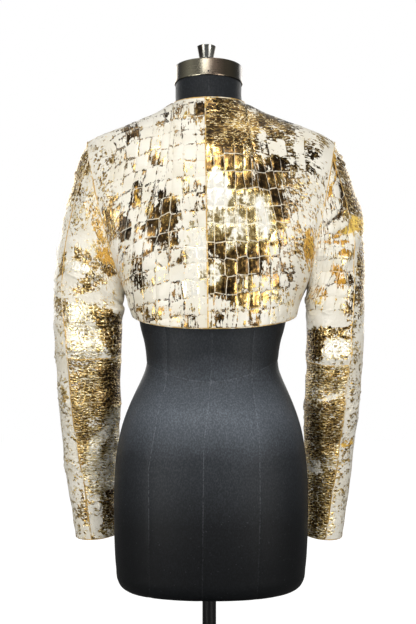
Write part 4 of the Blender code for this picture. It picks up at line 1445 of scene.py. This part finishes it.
@dataclass(frozen=True)
class Stand:
    """The neck cap with its finial, the pole and the round base."""

    nickel: TurnedMetal = TurnedMetal(
        "warm_brushed_nickel",
        (0.60, 0.565, 0.50),
        metallic=1.0,
        roughness=0.27,
        brushing=0.25,
        # Painted reflections across the cap: light edges, dark stripes and a pinkish highlight.
        reflection_bands=(
            (0.0, (0.90, 0.80, 0.74)), (0.035, (0.04, 0.032, 0.03)), (0.12, (0.08, 0.078, 0.062)),
            (0.28, (0.20, 0.175, 0.14)), (0.40, (0.60, 0.48, 0.41)), (0.49, (0.25, 0.22, 0.20)),
            (0.60, (0.50, 0.49, 0.44)), (0.76, (0.66, 0.65, 0.53)), (0.94, (0.05, 0.045, 0.035)),
            (1.0, (0.80, 0.72, 0.66)),
        ),
    )
    bright: TurnedMetal = TurnedMetal(
        "bright_nickel",
        (0.60, 0.59, 0.56),
        metallic=1.0,
        roughness=0.20,
        brushing=0.4,
        # Painted reflections across the finial: dark edges and a bright middle.
        reflection_bands=(
            (0.0, (0.10, 0.09, 0.08)), (0.20, (0.12, 0.11, 0.10)), (0.32, (0.32, 0.31, 0.28)),
            (0.44, (0.62, 0.62, 0.60)), (0.52, (0.34, 0.34, 0.33)), (0.66, (0.80, 0.84, 0.86)),
            (0.76, (0.70, 0.71, 0.68)), (0.88, (0.16, 0.15, 0.13)), (1.0, (0.07, 0.065, 0.06)),
        ),
        reach=0.0150,
    )
    paint: TurnedMetal = TurnedMetal(
        "satin_black_paint", (0.006, 0.006, 0.007), metallic=0.0, roughness=0.34, brushing=0.1, shine=0.22
    )
    cap_x: float = 0.0012
    finial_x: float = 0.0045
    cap: tuple = (
        (53.2, 1013.0), (54.3, 1013.2), (54.6, 1013.8), (54.6, 1014.8), (54.3, 1015.4), (54.0, 1015.6),
        (54.0, 1037.6), (53.8, 1038.8), (53.2, 1039.6), (52.2, 1040.0), (14.0, 1040.1),
    )
    finial: tuple = (
        (11.0, 1040.3), (11.2, 1040.6), (11.2, 1052.6), (10.9, 1053.0), (10.9, 1053.6), (11.6, 1054.0),
        (12.4, 1058.0), (14.9, 1071.2), (15.4, 1072.6), (15.1, 1073.4), (14.2, 1073.8),
    )
    pole: tuple = ((11.0, 30.3), (11.0, 205.2))
    base: tuple = (
        (163.5, 0.0), (165.0, 1.2), (165.0, 14.6), (164.6, 16.2), (163.4, 17.4), (161.4, 18.0), (34.0, 18.3),
        (31.0, 19.6), (29.4, 22.4), (28.0, 28.6), (27.0, 30.0),
    )

    def build(self) -> None:
        """Turns all four pieces and sets the screws."""
        nickel, paint, bright = (finish.material() for finish in (self.nickel, self.paint, self.bright))
        Turned("cap", "neck_cap", "brushed_nickel", self.cap, self.cap_x).build(nickel)
        SetScrews().build(paint)
        Turned("finial", "neck_finial", "brushed_nickel", self.finial, self.finial_x, 96).build(bright)
        Turned("pole", "stand_pole", "black_steel", self.pole, 0.0, 64).build(paint)
        Turned("base", "stand_base", "black_steel", self.base, 0.0, 192).build(paint)


@dataclass(frozen=True)
class Studio:
    """A pale floor, soft lights and the camera behind the jacket."""

    camera_distance: float = 1.536
    camera_height: float = 0.5568
    lens: float = 55.385
    rise: float = 0.0930
    slide: float = -0.0020
    floor_reach: float = 6.0
    floor_drop: float = 0.0004
    paper: tuple[Colour, Colour] = ((0.20, 0.20, 0.20), (0.18, 0.18, 0.18))
    sky: tuple[Colour, Colour] = ((0.42, 0.42, 0.42), (0.16, 0.16, 0.16))
    warmth: Colour = (1.0, 0.985, 0.95)
    lit: tuple[float, float, float] = (0.0, 0.0, 0.75)
    softboxes: tuple = (
        ("left_softbox", (1.5, 1.7, 0.34), 0.9, 26),
        ("right_softbox", (-1.5, 1.7, 0.42), 0.9, 24),
        ("key_softbox", (0.25, 1.9, 2.1), 0.9, 22),
        ("top_softbox", (0.0, 0.2, 2.7), 1.4, 7),
        ("front_left_softbox", (1.3, -2.0, 1.4), 1.2, 16),
        ("front_right_softbox", (-1.3, -2.0, 1.4), 1.2, 16),
    )

    def build(self) -> None:
        """Makes the stage."""
        scene = bpy.context.scene
        lens = bpy.data.cameras.new("camera")
        lens.lens, lens.shift_x, lens.shift_y = self.lens, self.slide, self.rise
        place = (0.0, self.camera_distance, self.camera_height)
        scene.camera = self._stand_up("camera", lens, place, (math.radians(90), 0.0, math.radians(180)))
        scene.view_settings.view_transform = "Standard"
        self._floor()
        self._sky()
        for name, place, size, watts in self.softboxes:
            lamp = bpy.data.lights.new(name, "AREA")
            lamp.size, lamp.energy, lamp.color = size, watts, self.warmth
            aim = (Vector(self.lit) - Vector(place)).to_track_quat("-Z", "Y").to_euler()
            self._stand_up(name, lamp, place, aim)

    @staticmethod
    def _stand_up(name: str, data: bpy.types.ID, place: Sequence, turn: Sequence) -> bpy.types.Object:
        """Puts a camera or a lamp in its place.

        Args:
            name: Its name.
            data: The camera's or the lamp's own data.
            place: Where it stands.
            turn: Its turn about X, Y and Z.

        Returns:
            The object.
        """
        made = bpy.data.objects.new(name, data)
        made.location, made.rotation_euler = place, turn
        bpy.context.scene.collection.objects.link(made)
        return made

    def _floor(self) -> None:
        """Lays a sheet of pale paper that looks white to the camera."""
        corners = np.array([(-1, -1, 0), (1, -1, 0), (1, 1, 0), (-1, 1, 0)], float)
        floor = new_piece("floor", corners * self.floor_reach - (0, 0, self.floor_drop), [(0, 1, 2, 3)])
        made, graph = new_material("paper_floor")
        tint = graph.blend(graph.noise(graph.place(), 3, 2), *self.paper)
        seen = graph.node("ShaderNodeLightPath", out="Is Camera Ray")
        glow = graph.blend(seen, (0.0, 0.0, 0.0), (1.0, 1.0, 1.0))
        inputs = {"Base Color": tint, "Roughness": 0.8, "Emission Color": glow, "Emission Strength": 0.9}
        finish_surface(graph, inputs)
        floor.data.materials.append(made)

    def _sky(self) -> None:
        """Makes a white surround, darker behind the camera so that bright metal has something to reflect."""
        world = bpy.data.worlds.new("studio")
        world.use_nodes = True
        bpy.context.scene.world = world
        graph = Graph(world.node_tree)
        way = graph.node("ShaderNodeTexCoord", out="Generated")
        behind = graph.node("ShaderNodeSeparateXYZ", None, {0: way}, "Y")
        lit = graph.blend(graph.step(behind, 0.25, 0.85), *self.sky)
        seen = graph.node("ShaderNodeLightPath", out="Is Camera Ray")
        light = graph.node("ShaderNodeBackground", None, {"Color": graph.blend(seen, lit, (1.0, 1.0, 1.0))})
        graph.node("ShaderNodeOutputWorld", None, {"Surface": light})


def table(kind: type, *rows: tuple) -> tuple:
    """Patches or folds from rows of their numbers."""
    return tuple(kind(*row) for row in rows)


# Centre x and z, half width, half height, foil, tone, and where they aren't 0 lean and orange
# Tones from about 0.9 up are painted highlights, near-white sheen on the foil.
BACK_LEFT_PATCHES = table(
    Patch,
    (12, 963, 6, 6, 0.9, 0.3), (12, 953, 5, 4, 0.85, 0.25), (150, 880, 30, 34, 0.34, 0.26),
    (165, 858, 11, 42, 0.46, 0.28, -12, 0.1), (121, 918, 20, 3.5, 0.76, 0.28, -30),
    (67, 935, 6, 7, 0.65, 0.3, -50), (86, 882, 11, 10, 0.72, 0.3), (83, 865, 8, 7, 0.9, 0.3, 20),
    (72, 786, 20, 40, 0.95, 0.24), (49, 755, 8, 11, 0.85, 0.3), (88, 778, 6, 13, 0.85, 0.2),
    (135, 712, 15, 36, 0.42, 0.5, 15, 0.5), (148, 788, 12, 29, 0.66, 0.24, 0, 0.1),
    (129, 769, 8, 11, 1.0, 0.14), (101, 699, 16, 20, 0.55, 0.15), (44, 656, 12, 36, 0.42, 0.3),
    # (20, 715) is a painted highlight.
    (30, 688, 7, 32, 0.4, 0.7, 8), (20, 715, 16, 55, 0.45, 1.15), (46, 851, 17, 38, 0.22, 0.3),
    (112, 817, 23, 26, 0.42, 0.2), (112, 812, 2.5, 14, 1.4, 0.95, 6, 1.6),
    (108, 803, 4.5, 5, 1.4, 0.95, 0, 1.6), (40, 905, 24, 30, 0.1, 0.3), (95, 903, 26, 10, 0.14, 0.3),
    (100, 852, 30, 12, 0.16, 0.3), (93, 731, 41, 11, 0.5, 0.12), (60, 643, 38, 18, 0.38, 0.15),
)
BACK_RIGHT_PATCHES = table(
    Patch,
    (-146, 918, 40, 26, 0.39, 0.4, 0, 0.1), (-30, 909, 38, 61, 1.3, 0.46),
    (-90, 935, 38, 14, 1.05, 0.42, 18), (-117, 917, 23, 11, 0.55, 0.35, 15),
    (-99, 864, 18, 15, 0.92, 0.15, 20), (-141, 883, 20, 10, 0.36, 0.2), (-63, 838, 41, 16, 1.1, 0.45),
    (-102, 791, 17, 44, 1.2, 0.28), (-43, 782, 44, 40, 1.1, 0.9), (-13, 757, 14, 14, 1.1, 0.38),
    # (-12, 824), (-81, 798), (-10, 702) and (-29, 752) are painted highlights.
    (-52, 717, 31, 29, 1.15, 0.34), (-38, 673, 38, 20, 1.0, 0.42), (-12, 824, 12, 28, 1.2, 1.35),
    (-81, 798, 10, 24, 1.2, 1.1), (-10, 702, 10, 16, 1.2, 1.35), (-29, 752, 6, 16, 1.2, 1.2),
    (-40, 641, 40, 17, 0.44, 0.3), (-152, 752, 12, 38, 0.62, 0.4, -12, 1.0),
    (-126, 757, 22, 20, 0.52, 0.12), (-152, 748, 7, 17, 1.05, 0.5, -10, 1.3),
    (-100, 698, 22, 29, 0.5, 0.12, 20), (-149, 817, 33, 41, 0.37, 0.22),
    (-128, 826, 14, 38, 0.58, 0.26, 15, 0.1), (-123, 651, 44, 26, 0.3, 0.6, 0, 0.3),
)
LEFT_SLEEVE_PATCHES = table(
    Patch,
    (200, 863, 12, 38, 0.95, 0.34, 15), (166, 768, 8, 44, 0.62, 0.34, -18, 0.5),
    (161, 736, 8, 13, 0.95, 0.4, -15, 1.1), (228, 719, 6, 13, 0.8, 0.25),
    # (158, 716) is a painted shadow under the left arm; (205, 714) a painted highlight.
    (158, 716, 8, 6, 0.86, 0.06, 35, 0.35), (205, 714, 18, 8, 0.7, 1.1, 12),
    (187, 727, 21, 12, 0.72, 0.34, 25), (191, 692, 20, 10, 0.74, 0.32, -25),
    (228, 649, 11, 20, 0.95, 0.35, -15), (193, 645, 27, 16, 0.75, 0.8), (198, 600, 28, 24, 0.85, 0.86),
    (152, 612, 16, 42, 0.98, 0.22, -22), (229, 582, 16, 54, 0.33, 0.4),
    (233, 511, 9, 21, 0.58, 0.45, 0, 0.3), (218, 423, 21, 71, 0.36, 0.4, 0, 0.2),
    (203, 333, 11, 19, 0.62, 0.25),
)
LEFT_FOREARM_PATCHES = table(
    Patch,
    (212, 553, 12, 5, 0.42, 0.6), (182, 520, 44, 34, 0.94, 0.35), (157, 530, 15, 38, 1.05, 0.08),
    (206, 446, 14, 42, 0.92, 0.3, -8), (150, 428, 12, 34, 0.74, 0.8, 20), (170, 456, 8, 44, 1.0, 0.9, 29),
    (170, 392, 26, 24, 0.76, 0.76), (166, 336, 13, 22, 0.72, 0.16), (160, 358, 8, 6, 0.95, 0.08),
    (190, 318, 9, 30, 0.25, 0.3),
)
RIGHT_SLEEVE_PATCHES = table(
    Patch,
    (-219, 841, 19, 51, 0.88, 0.2, -20), (-189, 858, 2, 34, 0.95, 0.6, 13, 1.3),
    (-238, 782, 9, 10, 1.4, 1.05, -30, 1.2), (-211, 771, 22, 5, 1.2, 0.8, -22, 1.0),
    (-200, 793, 22, 3, 0.62, 0.2, -32, 0.2), (-192, 752, 26, 3, 0.62, 0.35, 0, 1.0),
    (-207, 737, 7, 6, 0.66, 0.35, 0, 1.0), (-200, 712, 14, 5, 0.62, 0.35, 0, 1.0),
    (-203, 697, 9, 7, 0.64, 0.35, 0, 1.0), (-169, 670, 13, 16, 0.45, 0.5, 25, 0.7),
    (-223, 666, 10, 36, 0.68, 0.15), (-192, 614, 36, 9, 0.8, 0.15), (-166, 590, 12, 18, 0.95, 0.16),
    (-203, 589, 19, 13, 1.02, 1.05), (-229, 462, 15, 158, 0.4, 0.3, 0, 0.15),
    (-243, 712, 10, 60, 0.88, 0.24), (-226, 436, 9, 5, 0.8, 0.6, 0, 0.9),
)
RIGHT_FOREARM_PATCHES = table(
    Patch,
    (-184, 548, 30, 16, 0.86, 0.38), (-184, 466, 30, 40, 0.96, 0.3), (-188, 514, 16, 4, 0.42, 0.5),
    (-172, 402, 6, 7, 0.3, 0.5), (-190, 352, 24, 36, 0.88, 0.36),
)

# Centre x and z, half length, half width, lean, height
LEFT_SLEEVE_FOLDS = table(
    Fold,
    (184, 724, 28, 4.5, 26, -2.2), (192, 712, 28, 6.5, 15, 2.6), (177, 692, 20, 4.0, -37, -2.2),
    (196, 749, 30, 9, 20, 2.0), (192, 669, 30, 9, -10, 1.4), (196, 632, 30, 8, 6, 1.0),
)
RIGHT_SLEEVE_FOLDS = table(
    Fold,
    (-201, 794, 27, 4.0, -32, -2.6), (-207, 781, 30, 6.5, -18, 3.0), (-204, 763, 28, 6.0, -10, -1.6),
    (-190, 735, 30, 10, 8, 1.5), (-200, 652, 30, 9, 10, 1.8),
)


def back(side: Side, plan: FoilPlan, **more: Any) -> LeatherPanel:
    """A half back: its grid starts at the hem's centre."""
    left = side is Side.LEFT
    return LeatherPanel(
        f"back_{side.word}", 17, 11, (0.5, 0, 1), (0.27, 0.43), 0.078, plan, seed=5 + side.value,
        tile_zone=(0.13, 0.165) if left else (0.11, 0.15), folds=(Border.FIRST_ROW,),
        seams=(Border.LAST_COLUMN, Border.LAST_ROW) + (Border.FIRST_COLUMN,) * left, **more,
    )


def front(side: Side, plan: FoilPlan) -> LeatherPanel:
    """A front: its grid starts at the hem's side seam."""
    return LeatherPanel(
        f"front_{side.word}", 17, 7, (-0.5, 0, 1), (0.22, 0.45), 0.063, plan, "ivory_leather",
        seed=25 + side.value, folds=(Border.FIRST_ROW, Border.LAST_COLUMN),
    )


def sleeve(side: Side, outer: FoilPlan, under: FoilPlan, lower: FoilPlan) -> list[LeatherPanel]:
    """Plans the three pieces of a sleeve: their grids start at the lower end of the back seam.

    Args:
        side: Which sleeve.
        outer: The foil of the strip from shoulder to cuff.
        under: The foil above the elbow seam.
        lower: The foil below it.

    Returns:
        The three panels.
    """
    s, word, left = side.value, side.word, side is Side.LEFT
    bends = LEFT_SLEEVE_FOLDS if left else RIGHT_SLEEVE_FOLDS
    corner = (-0.5, -0.1, 1)
    return [
        LeatherPanel(
            f"outer_sleeve_{word}", 30, 12, (0, -0.3, 1), (0.29, 0.68), 0.108, outer, "ivory_leather", 45 + s,
            held="hung", seams=(Border.FIRST_COLUMN, Border.LAST_COLUMN), folds=(Border.FIRST_ROW,),
            crease=0.0018, bends=bends,
        ),
        LeatherPanel(
            f"under_sleeve_upper_{word}", 16, 14, corner, (0.2, 0.34), 0.037, under, "gold_leather", 65 + s,
            held="hung", crease=0.0020, bends=bends, tile=(0.021, 0.020),
            tile_zone=(0.0, 0.0) if left else (0.4, 0.5), tile_foot=0.640,
        ),
        LeatherPanel(
            f"under_sleeve_lower_{word}", 15, 14, corner, (0.17, 0.33), 0.046, lower, "gold_leather", 85 + s,
            held="hung", seams=(Border.LAST_ROW,), folds=(Border.FIRST_ROW,), crease=0.0018, flatness=1.6,
        ),
    ]


def main() -> None:
    """Builds the studio and the object, in order."""
    Studio().build()
    DressForm().build()
    Stand().build()
    panels = [
        back(
            Side.LEFT, FoilPlan(0.22, 0.33, 0.25, BACK_LEFT_PATCHES), slot="ivory_leather",
            tile=(0.0228, 0.0260), slope=0.95,
        ),
        back(
            Side.RIGHT, FoilPlan(0.22, 0.34, 0.25, BACK_RIGHT_PATCHES), slot="gold_leather",
            tile=(0.0172, 0.0262), slope=-0.8, tile_top=(0.885, 0.905),
        ),
        front(Side.LEFT, FoilPlan()),
        front(Side.RIGHT, FoilPlan()),
        *sleeve(
            Side.LEFT,
            FoilPlan(0.31, 0.40, 0.28, LEFT_SLEEVE_PATCHES),
            FoilPlan(0.28, 0.43, 0.3, LEFT_SLEEVE_PATCHES),
            FoilPlan(0.72, 0.42, 0.3, LEFT_FOREARM_PATCHES),
        ),
        *sleeve(
            Side.RIGHT,
            FoilPlan(0.28, 0.42, 0.28, RIGHT_SLEEVE_PATCHES),
            FoilPlan(0.12, 0.4, 0.3, RIGHT_SLEEVE_PATCHES),
            FoilPlan(0.76, 0.40, 0.3, RIGHT_FOREARM_PATCHES),
        ),
    ]
    Jacket(panels=panels).build()


if __name__ == "__main__":
    main()
